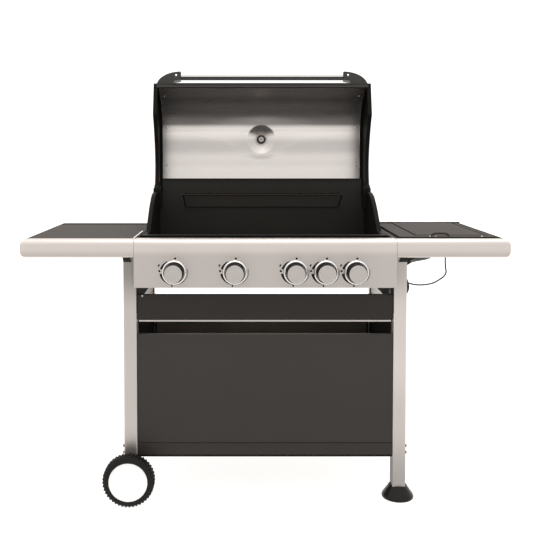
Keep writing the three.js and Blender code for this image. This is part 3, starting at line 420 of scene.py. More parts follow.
def refine(node, bevel, look=None, segments=2):
    """A CAD node keeps its shape; its edges catch the light and its curves are shaded smooth."""
    item = frame["nodes"][node]
    item.data.materials.clear()
    item.data.materials.append(LOOKS[look or SLOT_OF[node]])
    for polygon in item.data.polygons:
        polygon.use_smooth = True
    item.modifiers.new("weld", "WELD").merge_threshold = 0.005 * MM
    flat = item.modifiers.new("flat", "DECIMATE")
    flat.decimate_type = "DISSOLVE"
    flat.angle_limit = math.radians(0.4)
    edge = item.modifiers.new("edge", "BEVEL")
    edge.width = bevel
    edge.segments = segments
    edge.limit_method = "ANGLE"
    edge.angle_limit = math.radians(32)
    item.modifiers.new("normals", "WEIGHTED_NORMAL").keep_sharp = True


# ---------------------------------------- hose and igniter wire
def catmull(points, steps):
    """Centripetal Catmull-Rom curve through the points."""
    p = [Vector(q) for q in points]
    p = [2 * p[0] - p[1], *p, 2 * p[-1] - p[-2]]

    def between(a, b, start, end, t):
        return (end - t) / (end - start) * a + (t - start) / (end - start) * b

    line = []
    for a, b, c, d in zip(p, p[1:], p[2:], p[3:]):
        t0 = 0.0
        t1 = t0 + math.sqrt((b - a).length)
        t2 = t1 + math.sqrt((c - b).length)
        t3 = t2 + math.sqrt((d - c).length)
        for k in range(steps):
            t = t1 + (t2 - t1) * k / steps
            ab, bc, cd = between(a, b, t0, t1, t), between(b, c, t1, t2, t), between(c, d, t2, t3, t)
            line.append(between(between(ab, bc, t0, t2, t), between(bc, cd, t1, t3, t), t1, t2, t))
    line.append(p[-2])
    return line


def cord(name, node, points, radius):
    """Free cord through the points, which are in millimetres from the fascias' front face."""
    line = catmull([(x * MM, FRONT + y * MM, z * MM) for x, y, z in points], 8)
    data = bpy.data.curves.new(name, "CURVE")
    data.dimensions = "3D"
    data.bevel_depth = radius
    data.bevel_resolution = 4
    data.use_fill_caps = True
    course = data.splines.new("POLY")
    course.points.add(len(line) - 1)
    for point, at in zip(course.points, line):
        point.co = (*at, 1)
    item = bpy.data.objects.new(name, data)
    bpy.context.scene.collection.objects.link(item)
    data.materials.append(LOOKS["black_rubber"])
    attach(item, "cart")
    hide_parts(node)


cord("supply_hose", "side_burner_hose", [
    (179.3, 44, 604), (183, 44, 604), (189.5, 44, 602.5), (206, 43, 594), (222, 43, 580), (240, 43, 571),
    (262, 45, 571), (284, 49, 579), (304, 54, 586), (321, 59, 584), (334, 61, 572), (342, 61, 556),
    (350, 61, 543), (361, 61, 536), (373, 61, 538), (382, 61, 547), (387, 61, 561), (384, 61, 577),
    (377, 62, 592), (371, 63, 607), (370, 64, 618), (370, 64, 628),
], 3.5 * MM)
cord("ignition_wire", "igniter_wire", [
    (489, 70, 649), (489, 70, 632), (489.5, 69, 614), (491, 68, 603), (486, 67, 592), (473, 66, 582),
    (455, 67, 572), (430, 69, 567), (405, 71, 567.5), (385, 72, 573), (362, 72, 580), (341, 72, 585),
    (318, 69, 592), (296, 62, 600), (277, 50, 607), (263, 46, 610), (258, 46, 610), (252.8, 46, 610),
], 2.0 * MM)


# ---------------------------------------- screws
def screw(name, at, along, radius, look="zinc", body="cart", slot=None, matrix=None, sunk=0.2):
    """Pan head screw that stands on a surface along its outward direction. Its radius is in millimetres."""
    height = 0.55 * radius
    profile = [
        (0, height * 0.55), (radius * 0.28, height * 0.55), (radius * 0.36, height),
        (radius * 0.72, height * 0.92), (radius * 0.93, height * 0.6), (radius, 0), (radius, -sunk * radius),
    ]
    place = basis(at, along)
    if matrix:
        place = matrix @ place
    piece(name, placed(lathe(profile, 24), place), look, body, slot)


# ---------------------------------------- legs and feet
FOOT_TOP = 33 * MM  # here a foot's cone ends and the leg's tube begins


def rounded_square(low, high, margin, radius):
    """Outline between two corners, drawn in by a margin, with rounded corners."""
    x0, x1 = low.x + margin + radius, high.x - margin - radius
    y0, y1 = low.y + margin + radius, high.y - margin - radius
    outline = []
    for turn, corner in enumerate(((x1, y0), (x1, y1), (x0, y1), (x0, y0))):
        outline += arc(corner, radius, 90 * turn - 90, 90 * turn, 4)
    return outline


def leg(row, hand):
    """Square tube, hollow at its lower end. The right ones reach down to the cone of their foot."""
    node = f"leg_{row}_{hand}"
    low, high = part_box(node)
    if hand == "right":
        low.z = FOOT_TOP
    corner, wall, hollow = 3 * MM, 1.5 * MM, 50 * MM
    outer = rounded_square(low, high, 0, corner)
    inner = rounded_square(low, high, wall, corner - wall)
    levels = ((inner, low.z + hollow), (inner, low.z), (outer, low.z), (outer, high.z))
    bm = bmesh.new()
    rings = [[bm.verts.new((x, y, z)) for x, y in outline] for outline, z in levels]
    for a, b in zip(rings, rings[1:]):
        ring_faces(bm, a, b)
    bm.faces.new(rings[-1])
    bm.faces.new(rings[0])
    piece(f"{node}_tube", bm, f"leg_paint_with_painted_light_{hand}", "cart", "silver_paint", replaces=[node])


for row in ("front", "rear"):
    for hand in HANDS:
        leg(row, hand)


def foot(node):
    """Flared cone with a low rim."""
    low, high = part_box(node)
    centre = (low + high) / 2
    radius = (high.x - low.x) / 2 / MM
    neck = 24
    top = FOOT_TOP / MM
    profile = [
        (0, 2.5), (radius - 9, 2.5), (radius - 8, 0), (radius - 3, 0), (radius - 0.9, 0.8), (radius, 3),
        (radius - 0.4, 6), (radius - 2.4, 10), (neck + 2.6, top - 4.5), (neck + 1.2, top - 1.8),
        (neck + 0.2, top - 0.3), (neck - 1.2, top), (0, top),
    ]
    cone = placed(lathe(profile, 72), Matrix.Translation((centre.x, centre.y, low.z)))
    piece(f"{node}_cone", cone, "foot_plastic", "cart", "black_plastic", replaces=[node])


foot("foot_front")
foot("foot_rear")


# ---------------------------------------- wheels
WHEEL_WIDTH = 36  # in millimetres, like the hub's radius
HUB_RADIUS = 51
LUGS = 44
PER_LUG = 8  # sides of the tyre to a lug and its gap, half of them on the lug


def wheel(node, outward):
    """Moulded wheel: small staggered lugs on both shoulders, and a pale hub cap on the outer face."""
    low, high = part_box(node)
    axle = Vector(JOINTS[f"{node}_spin"]["pos_m"])
    radius, half, hub = axle.z / MM, WHEEL_WIDTH / 2, HUB_RADIUS
    outer_face = low.y if outward < 0 else high.y
    place = basis((axle.x, outer_face - outward * half * MM, axle.z), (0, outward, 0))
    root = radius - 2.6  # between the lugs

    def tread(phase, first, end):
        """Swell that lowers the gaps between the lugs, on the rings from first up to end."""
        def scale(k, ring):
            on_lug = 1 <= (k + phase) % PER_LUG <= PER_LUG // 2
            return root / radius if first <= ring < end and not on_lug else 1.0
        return scale

    shoulder = [
        (hub + 1.2, half), (hub + 6, half), (radius - 6, half - 1.5), (radius - 1.5, half - 5),
        (radius, half - 6.5), (radius, 1), (root, 0.6), (root, 0),
    ]
    front = lathe([(hub, half - 5), (hub, half - 1.2), *shoulder], LUGS * PER_LUG, tread(0, 5, 8))
    dish = [(15, 12 - half), (hub - 4, 12 - half), (hub, 2 - half)]
    back = lathe(dish + [(r, -h) for r, h in shoulder], LUGS * PER_LUG, tread(PER_LUG // 2, 6, 9))
    boss_end = -half - 18
    boss = lathe([
        (6, 8 - half), (14, 11.8 - half), (15.2, 11.8 - half), (14, 8 - half), (14, boss_end + 1),
        (13, boss_end), (6, boss_end), (6, 8 - half),
    ], 48)
    tyre = placed(merged(front, back, boss), place)
    piece(f"{node}_tyre", tyre, "wheel_rubber", node, replaces=[node], crease=30)

    rim = hub - 0.4
    cap = lathe([
        (0, half + 0.6), (12, half + 0.5), (26, half - 0.2), (rim - 7, half - 1.6), (rim - 4, half - 2),
        (rim - 2.6, half - 0.6), (rim - 1.2, half - 0.3), (rim, half - 1.2), (rim, half - 4), (0, half - 4),
    ], 96)
    piece(f"{node}_hub_cap", placed(cap, place), "hub_silver", node, "wheel_rubber")


wheel("wheel_front", -1)
wheel("wheel_rear", 1)
refine("axle", 0.4 * MM)


# ---------------------------------------- cart sheets
CART_LOOKS = {
    "bottom_shelf": "graphite_shaded",
    "front_panel": "graphite_front_shaded",
    "front_valance": "graphite_shaded",
    "rear_panel": "graphite_paint",
    "side_panel_left": "panel_shadow",
    "side_panel_right": "panel_shadow",
}
for node, look in CART_LOOKS.items():
    refine(node, 0.6 * MM, look)


def inner_painted_light():
    """Pale grey sheet on the inner side of the rear panel: painted light that brightens the dark inside of the
    cart.
    """
    low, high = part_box("rear_panel")
    x, z = inset(low.x, high.x, 3, 3), inset(low.z, high.z, 3, 3)
    strip("rear_panel_painted_light", x, span(high.y - SHEET, -0.6, -0.2), z, "painted_light_grey", "graphite_paint")


inner_painted_light()


def rail(node):
    """Round rail with a flange at each end, which stands in a black socket."""
    low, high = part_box(node)
    middle = (low + high) / 2
    radius = (high.z - low.z) / 2 / MM
    length = (high.x - low.x) / MM
    flange = radius * 1.7
    profile = [
        (0, 0), (flange, 0), (flange, 1.2), (radius, 2.2), (radius, length - 2.2), (flange, length - 1.2),
        (flange, length), (0, length),
    ]
    place = basis((low.x, middle.y, middle.z), (1, 0, 0))
    piece(f"{node}_rod", placed(lathe(profile, 40), place), "satin_face", "cart", "chrome", replaces=[node])
    depth = 4.6
    profile = [(0, 0), (radius * 1.5, 0), (radius * 1.5, depth - 0.8), (radius * 1.2, depth), (0, depth)]
    for hand, start in (("left", low.x), ("right", high.x - depth * MM)):
        socket = placed(lathe(profile, 32), basis((start, middle.y, middle.z), (1, 0, 0)))
        piece(f"{node}_socket_{hand}", socket, "cap_black", "cart", "black_plastic")


rail("towel_rail")


def cart_screws():
    """Two bolts through each leg into the bottom shelf and two into the valance, and a screw in its face."""
    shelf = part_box("bottom_shelf")[0].z
    low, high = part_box("front_valance")
    face_screw = (low.x + 14.5 * MM, low.y, high.z - 2.8 * MM)
    valance = low.z
    for row in ("front", "rear"):
        for hand, out in HANDS.items():
            low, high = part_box(f"leg_{row}_{hand}")
            side = low.x if out < 0 else high.x
            for number, level in ((1, 7.5), (2, 25.5)):
                at = (side + out * 2.2 * MM, low.y + 10 * MM, shelf + level * MM)
                name = f"shelf_bolt_{row}_{hand}_{number}"
                screw(name, at, (out, 0, 0), 3.9, "graphite_paint", slot="zinc", sunk=0.75)
            for number, level in ((1, 16), (2, 51)):
                at = (side, (low.y + high.y) / 2, valance + level * MM)
                screw(f"valance_bolt_{row}_{hand}_{number}", at, (out, 0, 0), 4.2)
    screw("valance_screw", face_screw, (0, -1, 0), 2.8)


cart_screws()


def hems():
    """Rolled edges of the side panels' slots and dark tabs at the valance's ends, both in painted shadow, and
    struts under the fascias' ends.
    """
    for hand, side in HANDS.items():
        low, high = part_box(f"side_panel_{hand}")
        x, y, z = inset(low.x, high.x, -0.2, -0.2), inset(low.y, high.y, 19, 19), span(high.z, -51, -39.5)
        strip(f"slot_hem_{hand}", x, y, z, "panel_shadow", "graphite_paint", bevel=0.4 * MM)
        low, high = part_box("front_valance")
        x, z = span(side * high.x, -0.1 * side, 0.5 * side), span(low.z, 16, 88)
        # Painted shadow: a dark plate on the leg's inner face beside the valance.
        strip(f"valance_shadow_tab_{hand}", x, span(FRONT, 17, 60), z, "panel_shadow", "graphite_paint")
        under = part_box(f"shelf_fascia_{hand}")[0].z
        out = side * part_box("leg_front_right")[1].x
        section = [(0.5, -0.3), (-17.5, -0.3), (-23, -12), (-2, -12)]
        outline = [(out + side * x * MM, under + z * MM) for x, z in section]
        strut = prism(outline, *span(FRONT, 9, 15.7), "y")
        piece(f"shelf_strut_{hand}", strut, "black_enamel", "cart", bevel=0.4 * MM)


hems()


def sheet_edges():
    """Hem of the bottom shelf in painted shade, plate behind the right slot, a dark sheet of painted shadow on the
    side of the right leg, and the hose's grommet.
    """
    shelf_low, shelf_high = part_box("bottom_shelf")
    # The bottom shelf's hem in near-black, darker than the shelf's paint: painted shade along its lower front
    # edge.
    x, z = inset(shelf_low.x, shelf_high.x, 1, 1), span(shelf_low.z, -1.6, 4)
    strip("shelf_hem", x, span(shelf_low.y, -0.2, 4), z, "cap_black", "graphite_paint", bevel=0.4 * MM)
    low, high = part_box("side_panel_right")
    x, z = span(high.x, 0.8, 2.1), span(high.z, -87, -35)
    strip("slot_plate", x, span(FRONT, 178, 260), z, "zinc", bevel=0.3 * MM)
    # Painted shadow: a thin dark sheet on the right leg's inner side below the bottom shelf.
    leg_low, leg_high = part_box("leg_front_right")
    y, z = inset(leg_low.y, leg_high.y, 1.5, 1.5), (FOOT_TOP + 1 * MM, shelf_low.z)
    strip("leg_painted_shadow", span(leg_low.x, -0.3, 0.3), y, z, "leg_side_shadow", "silver_paint")
    x, z = inset(low.x, high.x, -0.6, -0.7), span(high.z, -30, 0.5)
    strip("hose_grommet", x, span(FRONT, 52, 82), z, "black_rubber", bevel=0.4 * MM)


sheet_edges()


# ---------------------------------------- cook box
for node in ("firebox_tub", "firebox_end_left", "firebox_end_right"):
    refine(node, 0.8 * MM)
for number in range(1, 5):
    refine(f"burner_{number}", 0.3 * MM)
    refine(f"flame_tamer_{number}", 0.3 * MM)
for node in ("grate_left", "grate_right"):
    refine(node, 1.2 * MM)
refine("grease_tray", 0.4 * MM)
refine("gas_manifold", 0.5 * MM)


def rack(node):
    """Wire rack on the upstand: two long rails, a low rail, cross wires, and two braces at each end."""
    low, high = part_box(node)
    wire, thin, brace = 2.5 * MM, 1.2 * MM, 2.1 * MM
    half = high.x - wire
    back, front = high.y - wire, low.y + wire
    top, bottom = high.z - 3.5 * MM, low.z + wire
    parts = [
        tube((-half, y, z), (half, y, z), wire, 12)
        for y, z in ((front, top), (back, top), (back, bottom))
    ]
    gaps = 20
    for k in range(gaps + 1):
        x = -half + 2 * half * k / gaps
        parts.append(tube((x, front, top + wire), (x, back, top + wire), thin, 8))
    for x in (-half, half):
        for z in (bottom, top):
            parts.append(tube((x, front, top), (x, back, z), brace, 10))
    piece(f"{node}_wires", merged(*parts), "edge_black", "cart", "black_enamel", replaces=[node])


rack("warming_rack")


def box_corners():
    """Upright strips that close the cook box's rear corners."""
    low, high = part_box("firebox_tub")
    for hand, side in HANDS.items():
        x = span(side * high.x, -11.7 * side, 5.3 * side)
        y, z = span(high.y, 0.2, 1.7), (low.z + 45.8 * MM, high.z - 57 * MM)
        strip(f"box_corner_{hand}", x, y, z, "black_enamel", bevel=0.2 * MM)


box_corners()


# ---------------------------------------- control panel and knobs
refine("control_panel", 0.5 * MM, "panel_paint_with_painted_light", segments=3)
for hand in HANDS:
    refine(f"shelf_fascia_{hand}", 0.5 * MM, "panel_paint_with_painted_light", segments=3)
    refine(f"shelf_deck_{hand}", 0.7 * MM)
for number in KNOBS:
    refine(f"valve_stem_{number}", 0.3 * MM)


def knob(number):
    """Knob with a polished skirt and a black cap that has a satin plate on its face."""
    node = f"knob_{number}"
    low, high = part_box(node)
    centre = (low + high) / 2
    radius = (high.x - low.x) / 2 / MM
    depth = (high.y - low.y) / MM
    bore, cap = 4.4, 25.6
    plate = cap - 2.5
    profiles = {
        ("skirt", "chrome"): [
            (bore, 0), (radius - 0.8, 0), (radius, 0.8), (radius, 2), (radius - 0.5, 3.2),
            (radius - 1.6, 4.4), (radius - 3, 5), (radius - 4.2, 4.9), (cap + 0.8, 4.3), (cap + 0.4, 3.4),
            (bore, 3.4), (bore, 0),
        ],
        ("cap", "cap_black"): [
            (bore, 3.6), (cap, 3.6), (cap, 5), (cap - 1.4, depth - 3.2), (cap - 2, depth - 1.4),
            (cap - 3.4, depth - 1), (0, depth - 1),
        ],
        ("plate", "satin_face"): [
            (0, depth - 1.6), (plate, depth - 1.6), (plate, depth - 0.7), (plate - 0.8, depth - 0.15),
            (plate - 2, depth - 0.2), (plate - 3, depth - 0.4), (plate - 8, depth - 0.15), (0, depth),
        ],
    }
    place = basis((centre.x, high.y, centre.z), (0, -1, 0), (0, 0, -1))
    for (part, look), profile in profiles.items():
        replaces = [node] if part == "skirt" else ()
        bm = placed(lathe(profile, 96), place)
        piece(f"{node}_{part}", bm, look, node, "stainless", replaces=replaces, crease=50)


MARK_WIDE = 35.4  # half axes of the ring of marks round a knob, in millimetres
MARK_HIGH = 32.4


def wedge(start, end, thick_start, thick_end):
    """Band round the knob that swells or tapers from one clock angle to another, in millimetres."""
    outer, inner = [], []
    steps = 20
    for k in range(steps + 1):
        t = k / steps
        angle = math.radians(start + (end - start) * t)
        half = (thick_start + (thick_end - thick_start) * t) / 2
        for line, reach in ((outer, half), (inner, -half)):
            line.append(((MARK_WIDE + reach) * math.cos(angle), (MARK_HIGH + reach) * math.sin(angle)))
    return outer + inner[::-1]


def oval(x, z, wide, high, turn=0.0):
    """Small oval mark, in millimetres."""
    cosine, sine = math.cos(math.radians(turn)), math.sin(math.radians(turn))
    circle = [(wide * a, high * b) for a, b in arc((0, 0), 1, 0, 340, 17)]
    return [(x + a * cosine - b * sine, z + a * sine + b * cosine) for a, b in circle]


MARKS = {
    "high": wedge(120, 166, 2.0, 6.4),
    "low": wedge(187, 258, 7.0, 2.2),
    # painted shade: thin dark ring round the skirt's bottom and right side, where the knob meets the panel
    "ring": wedge(258, 374, 1.7, 1.3),
    "off": oval(2.4, 36.2, 3.0, 2.8),
    "end": oval(-6.5, -36.0, 2.2, 2.8),
    "oval": oval(-40.4, 18, 2.0, 3.9, -28),
    "flame": oval(-39, 3.2, 3.0, 2.8),
}


def knob_marks(number):
    """Marks printed on the panel round a knob, and a thin dark ring of painted shade round its skirt."""
    low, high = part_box(f"knob_{number}")
    centre = (low + high) / 2
    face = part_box("control_panel")[0].y
    for kind, outline in MARKS.items():
        around = [(centre.x + x * MM, centre.z + z * MM) for x, z in outline]
        bm = prism(around, face - SKIN, face + SKIN, "y")
        piece(f"mark_{kind}_{number}", bm, "ink", "cart", "silver_paint")


for number in KNOBS:
    knob(number)
    knob_marks(number)


# ---------------------------------------- lid, built shut and swung open
HINGE = Vector(JOINTS["lid_hinge"]["pos_m"])
OPEN = math.radians(JOINTS["lid_hinge"]["range_deg"][1])
LID = Matrix.Translation(HINGE) @ Matrix.Rotation(-OPEN, 4, "X") @ Matrix.Translation(-HINGE)


def lid_section(points):
    """Points of the shut lid's section, which are in millimetres from the hinge pin."""
    return [(HINGE.y + y * MM, HINGE.z + z * MM) for y, z in points]


def spline(points, count):
    """Uniform Catmull-Rom curve through flat points, its ends doubled."""
    line = []
    last = len(points) - 1
    for k in range(count + 1):
        at = last * k / count
        i = min(int(at), last - 1)
        t = at - i
        place = []
        for a, b, c, d in zip(points[max(i - 1, 0)], points[i], points[i + 1], points[min(i + 2, last)]):
            start, end = (c - a) / 2, (d - b) / 2
            cubic = (2 * b - 2 * c + start + end) * t**3 + (3 * c - 3 * b - 2 * start - end) * t**2
            place.append(cubic + start * t + b)
        line.append(tuple(place))
    return line


SKIN_LINE = spline(lid_section([
    (-316, -102), (-313, -52), (-300, -3), (-272, 41), (-240, 68.6), (-220, 79.4), (-200, 86.6),
    (-149, 100.6), (-98, 114), (-20, 120), (36, 103), (58, 57),
]), 480)
GAUGE_AT = Vector(JOINTS["thermometer_needle_turn"]["pos_m"])
GAUGE = basis(GAUGE_AT, -Vector(JOINTS["thermometer_needle_turn"]["axis"]), (0, 0, -1))
DISH_RADIUS = 47 * MM
DISH_SLOPE = 35 * MM  # width of the dish's flank
DISH_RISE = 11 * MM
BULGE = -1.7 * MM  # how far the sheet round the dish is drawn in
REAR_STRIP = -55 * MM  # where the dark rear strip of the lid begins, from the hinge pin, lid shut
EDGE_SCREWS = (0.087, 0.211, 0.334)  # places of the lid's screws, along the sheet from its front edge


def held(value):
    return max(0.0, min(1.0, value))


def ease(t):
    t = held(t)
    return t * t * (3 - 2 * t)


def stamped(x, s):
    """How far the sheet stands outwards: drawn in a little round the dish, then out in a flat cone."""
    reach = math.hypot(x, s)
    if reach < DISH_RADIUS:
        return BULGE + (DISH_RISE - BULGE) * held((DISH_RADIUS - reach) / DISH_SLOPE)
    front = ease(0.5 - s / (60 * MM))  # the drawn-in area is larger towards the lid's front edge
    wide, deep = (105 + 145 * front) * MM, (70 + 22 * front) * MM
    edge = reach / math.hypot(x / wide, s / deep)
    return BULGE * ease(1 - (reach - DISH_RADIUS) / (edge - DISH_RADIUS))


def stations(low, high, middle, coarse):
    """Grid lines from low to high, closely spaced round the dish."""
    near, fine = DISH_RADIUS + 4 * MM, 2 * MM
    count = round(2 * near / fine)
    marks = [low, high] + [middle - near + 2 * near * k / count for k in range(count + 1)]
    for a, b in ((low, middle - near), (middle + near, high)):
        count = max(1, round((b - a) / coarse))
        marks += [a + (b - a) * k / count for k in range(1, count)]
    return sorted(set(marks))


def lid_skin(node):
    """Sheet of the lid with the thermometer's dish stamped outwards, its rear strip, an inside layer with painted
    reflection bands, and screws.
    """
    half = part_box(node)[1].x
    lengths = [0.0]
    for a, b in zip(SKIN_LINE, SKIN_LINE[1:]):
        lengths.append(lengths[-1] + math.dist(a, b))
    dish = (LID.inverted() @ GAUGE_AT).yz
    dish_s = min(zip(SKIN_LINE, lengths), key=lambda pair: math.dist(pair[0], dish))[1]
    across = stations(-half, half, 0.0, 12 * MM)
    along = stations(0.0, lengths[-1], dish_s, 4 * MM)

    def on_skin(x, s, depth):
        """Point under the sheet's outer face, and the outward direction there."""
        after = next((k for k, length in enumerate(lengths) if length > s), len(lengths) - 1)
        t = (s - lengths[after - 1]) / (lengths[after] - lengths[after - 1])
        y, z = (a * (1 - t) + b * t for a, b in zip(SKIN_LINE[after - 1], SKIN_LINE[after]))
        (y0, z0), (y1, z1) = SKIN_LINE[max(after - 4, 0)], SKIN_LINE[min(after + 3, len(SKIN_LINE) - 1)]
        size = math.hypot(y1 - y0, z1 - z0)
        ny, nz = (z0 - z1) / size, (y1 - y0) / size
        rise = stamped(x, s - dish_s) - depth
        return (x, y + ny * rise, z + nz * rise), (0, ny, nz)

    def sheet_part(name, look, rows, depths=(0.0, SHEET), slot=None):
        """Sheet between two depths under the outer face."""
        bm = bmesh.new()
        top, under = (
            [[bm.verts.new(on_skin(x, s, depth)[0]) for x in across] for s in rows]
            for depth in depths
        )
        pairs = [pair for grid in (top, under) for pair in zip(grid, grid[1:])]
        pairs += [(top[0], under[0]), (top[-1], under[-1])]
        for k in (0, -1):
            pairs.append(([row[k] for row in top], [row[k] for row in under]))
        for a, b in pairs:
            for k in range(len(a) - 1):
                bm.faces.new((a[k], a[k + 1], b[k + 1], b[k]))
        piece(name, placed(bm, LID), look, "lid", slot, replaces=[node], crease=50)

    split = next(length for length, at in zip(lengths, SKIN_LINE) if at[0] > HINGE.y + REAR_STRIP)
    front = [s for s in along if s < split]
    rear = [s for s in along if s > split + 1 * MM]
    sheet_part(f"{node}_sheet", "stainless", [*front, split])
    sheet_part("lid_rear_strip", "black_enamel", [split + 0.2 * MM, *rear])
    # inner layer of the sheet's front part, with the painted reflection bands
    sheet_part("lid_inside", "painted_reflection_steel", front, span(SHEET, 0.05, 0.25), "stainless")
    for hand, side in HANDS.items():
        for number, s in enumerate(EDGE_SCREWS, 1):
            at, (_, ny, nz) = on_skin(side * (half - 12 * MM), s, SHEET + 0.2 * MM)
            name = f"lid_screw_{hand}_{number}"
            screw(name, at, (0, -ny, -nz), 3, "chrome", "lid", "stainless", LID)


lid_skin("lid_skin")
for hand in HANDS:
    refine(f"lid_end_{hand}", 0.8 * MM)


def lid_rim():
    """Dark edging round the lid's front edge, and the hem folded back behind it."""
    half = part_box("lid_skin")[1].x
    edging = [
        (-317, -94), (-317, -103.4), (-310.5, -103.4), (-310.5, -101.6), (-316.2, -101.6), (-316.2, -94),
    ]
    bm = prism(lid_section(edging), -half, half, "x")
    piece("lid_edging", placed(bm, LID), "black_enamel", "lid", bevel=0.3 * MM)
    hem = [
        (-310.4, -102.4), (-304.2, -102.0), (-303.4, -101.2), (-303.4, -94), (-304.6, -94), (-304.6, -100.6),
        (-310.4, -101),
    ]
    bm = prism(lid_section(hem), -half, half, "x")
    piece("lid_hem", placed(bm, LID), "graphite_paint", "lid", "black_enamel", bevel=0.25 * MM)


lid_rim()


# ---------------------------------------- thermometer
CASE_BASE = DISH_RISE / MM + 0.3  # heights along the thermometer's axis, in millimetres
CASE_TOP = CASE_BASE + 14
DIAL_FACE = CASE_TOP - 5
SWEEP_START = 225  # degrees; the scale runs from here clockwise
SWEEP = 270


def gauge_part(name, bm, look, slot=None, **options):
    piece(f"thermometer_{name}", placed(bm, GAUGE), look, "lid", slot, **options)


def dial_scale():
    """Forty divisions with a longer tick at every fourth, and a thin band outside them."""
    divisions = 40
    level = (DIAL_FACE + 0.4) * MM
    depth = level - 0.05 * MM, level + SKIN
    marks = []
    for k in range(divisions + 1):
        start, width = (20, 0.55) if k % 4 == 0 else (22.5, 0.3)
        tick = block(span(0, start, 25.5), span(0, -width, width), depth)
        turn = math.radians(SWEEP_START - SWEEP * k / divisions)
        marks.append(placed(tick, Matrix.Rotation(turn, 4, "Z")))
    ends = SWEEP_START, SWEEP_START - SWEEP
    band = arc((0, 0), 27.2 * MM, *ends, divisions) + arc((0, 0), 26.4 * MM, *ends[::-1], divisions)
    return merged(*marks, prism(band, *depth))


def thermometer(node):
    """Round thermometer: case, dial with its scale, glass, and the washer, nut and probe inside the lid."""
    base, top, face = CASE_BASE, CASE_TOP, DIAL_FACE
    radius = 32
    bezel = radius - 3.2
    case = lathe([
        (5, base), (radius - 4, base), (radius - 1.5, base + 1.4), (radius, base + 4.5), (radius, top - 1.8),
        (radius - 0.8, top - 0.4), (radius - 1.8, top), (radius - 3, top - 0.6), (bezel, face), (5, face),
        (5, base),
    ], 96)
    gauge_part("case", case, "chrome", replaces=[node], crease=50)
    rim = bezel - 0.1
    dial = lathe([(1.4, face), (rim, face), (rim, face + 0.4), (1.4, face + 0.4), (1.4, face)], 96)
    gauge_part("dial", dial, "dial")
    pin = lathe([(0, face), (1.4, face), (1.4, face + 2.6), (0.9, face + 3), (0, face + 3)], 24)
    gauge_part("pin", pin, "brass")
    gauge_part("scale", dial_scale(), "ink", "dial")
    glass = lathe([
        (0, top - 1.6), (bezel, top - 2.1), (bezel, top - 1.3), (radius / 2, top - 0.7), (0, top - 0.5),
    ], 96)
    gauge_part("glass", glass, "glass", "dial")
    washer = lathe([(5, 9.2), (13.2, 9.2), (14, 8.6), (14, 7.3), (13.2, 6.7), (5, 6.7), (5, 9.2)], 48)
    gauge_part("washer", washer, "black_rubber")
    nut = prism(arc((0, 0), 9.4 * MM, 30, 330, 5), *span(0, 5, 6.7))
    gauge_part("nut", nut, "zinc", bevel=0.8 * MM)
    probe = lathe([(0, -17.3), (1.6, -17.1), (2.5, -16.2), (2.5, 1.2), (0, 1.2)], 24)
    gauge_part("probe", probe, "burner_steel", "stainless")


def needle(node):
    """Arrow on a small boss, turned to the start of the scale."""
    low = DIAL_FACE + 0.8
    arrow = [(-1.5, -6), (1.5, -6), (1.2, 6), (0.35, 21.5), (0, 22), (-0.35, 21.5), (-1.2, 6)]
    hand = prism([(x * MM, y * MM) for x, y in arrow], *span(0, low, low + 0.6))
    under, top = low - 0.1, low + 1.1
    boss = lathe([(1.8, under), (4, under), (4, top - 0.4), (3.4, top), (1.8, top), (1.8, under)], 32)
    place = GAUGE @ Matrix.Rotation(math.radians(SWEEP_START - 90), 4, "Z")
    piece(f"{node}_hand", placed(merged(hand, boss), place), "needle_paint", "needle", replaces=[node])


thermometer("thermometer")
needle("thermometer_needle")


# ---------------------------------------- handle
HANDLE_Y = FRONT + 47 * MM
HANDLE_Z = HINGE.z - 66 * MM


def handle(node):
    """Polished bar across the lid, its ends rounded off."""
    radius = 11
    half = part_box(node)[1].x
    end = 2 * half / MM
    profile = [
        (0, 0), (radius - 1.5, 0), (radius - 0.4, 0.4), (radius, 1.5),
        (radius, end - 1.5), (radius - 0.4, end - 0.4), (radius - 1.5, end), (0, end),
    ]
    place = LID @ basis((-half, HANDLE_Y, HANDLE_Z), (1, 0, 0))
    piece(f"{node}_tube", placed(lathe(profile, 72), place), "chrome", "lid", replaces=[node])


def handle_painted_reflection():
    """Dark strip along the side of the bar that faces the open lid: painted reflection, the dark band on the
    polished bar.
    """
    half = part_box("handle_bar")[1].x - 0.5 * MM
    inner, outer = [], []
    steps = 24
    for k in range(steps + 1):
        share = k / steps
        angle = math.radians(195 + 150 * share) + OPEN  # from the open lid's section to the shut one's
        swell = math.sin(math.pi * share) ** 0.7
        for line, radius in ((inner, 10.6), (outer, 11.15 + 2.6 * swell)):
            line.append((HANDLE_Y + radius * MM * math.cos(angle), HANDLE_Z + radius * MM * math.sin(angle)))
    bm = prism(outer + inner[::-1], -half, half, "x")
    piece("handle_painted_reflection", placed(bm, LID), "black_rubber", "lid")


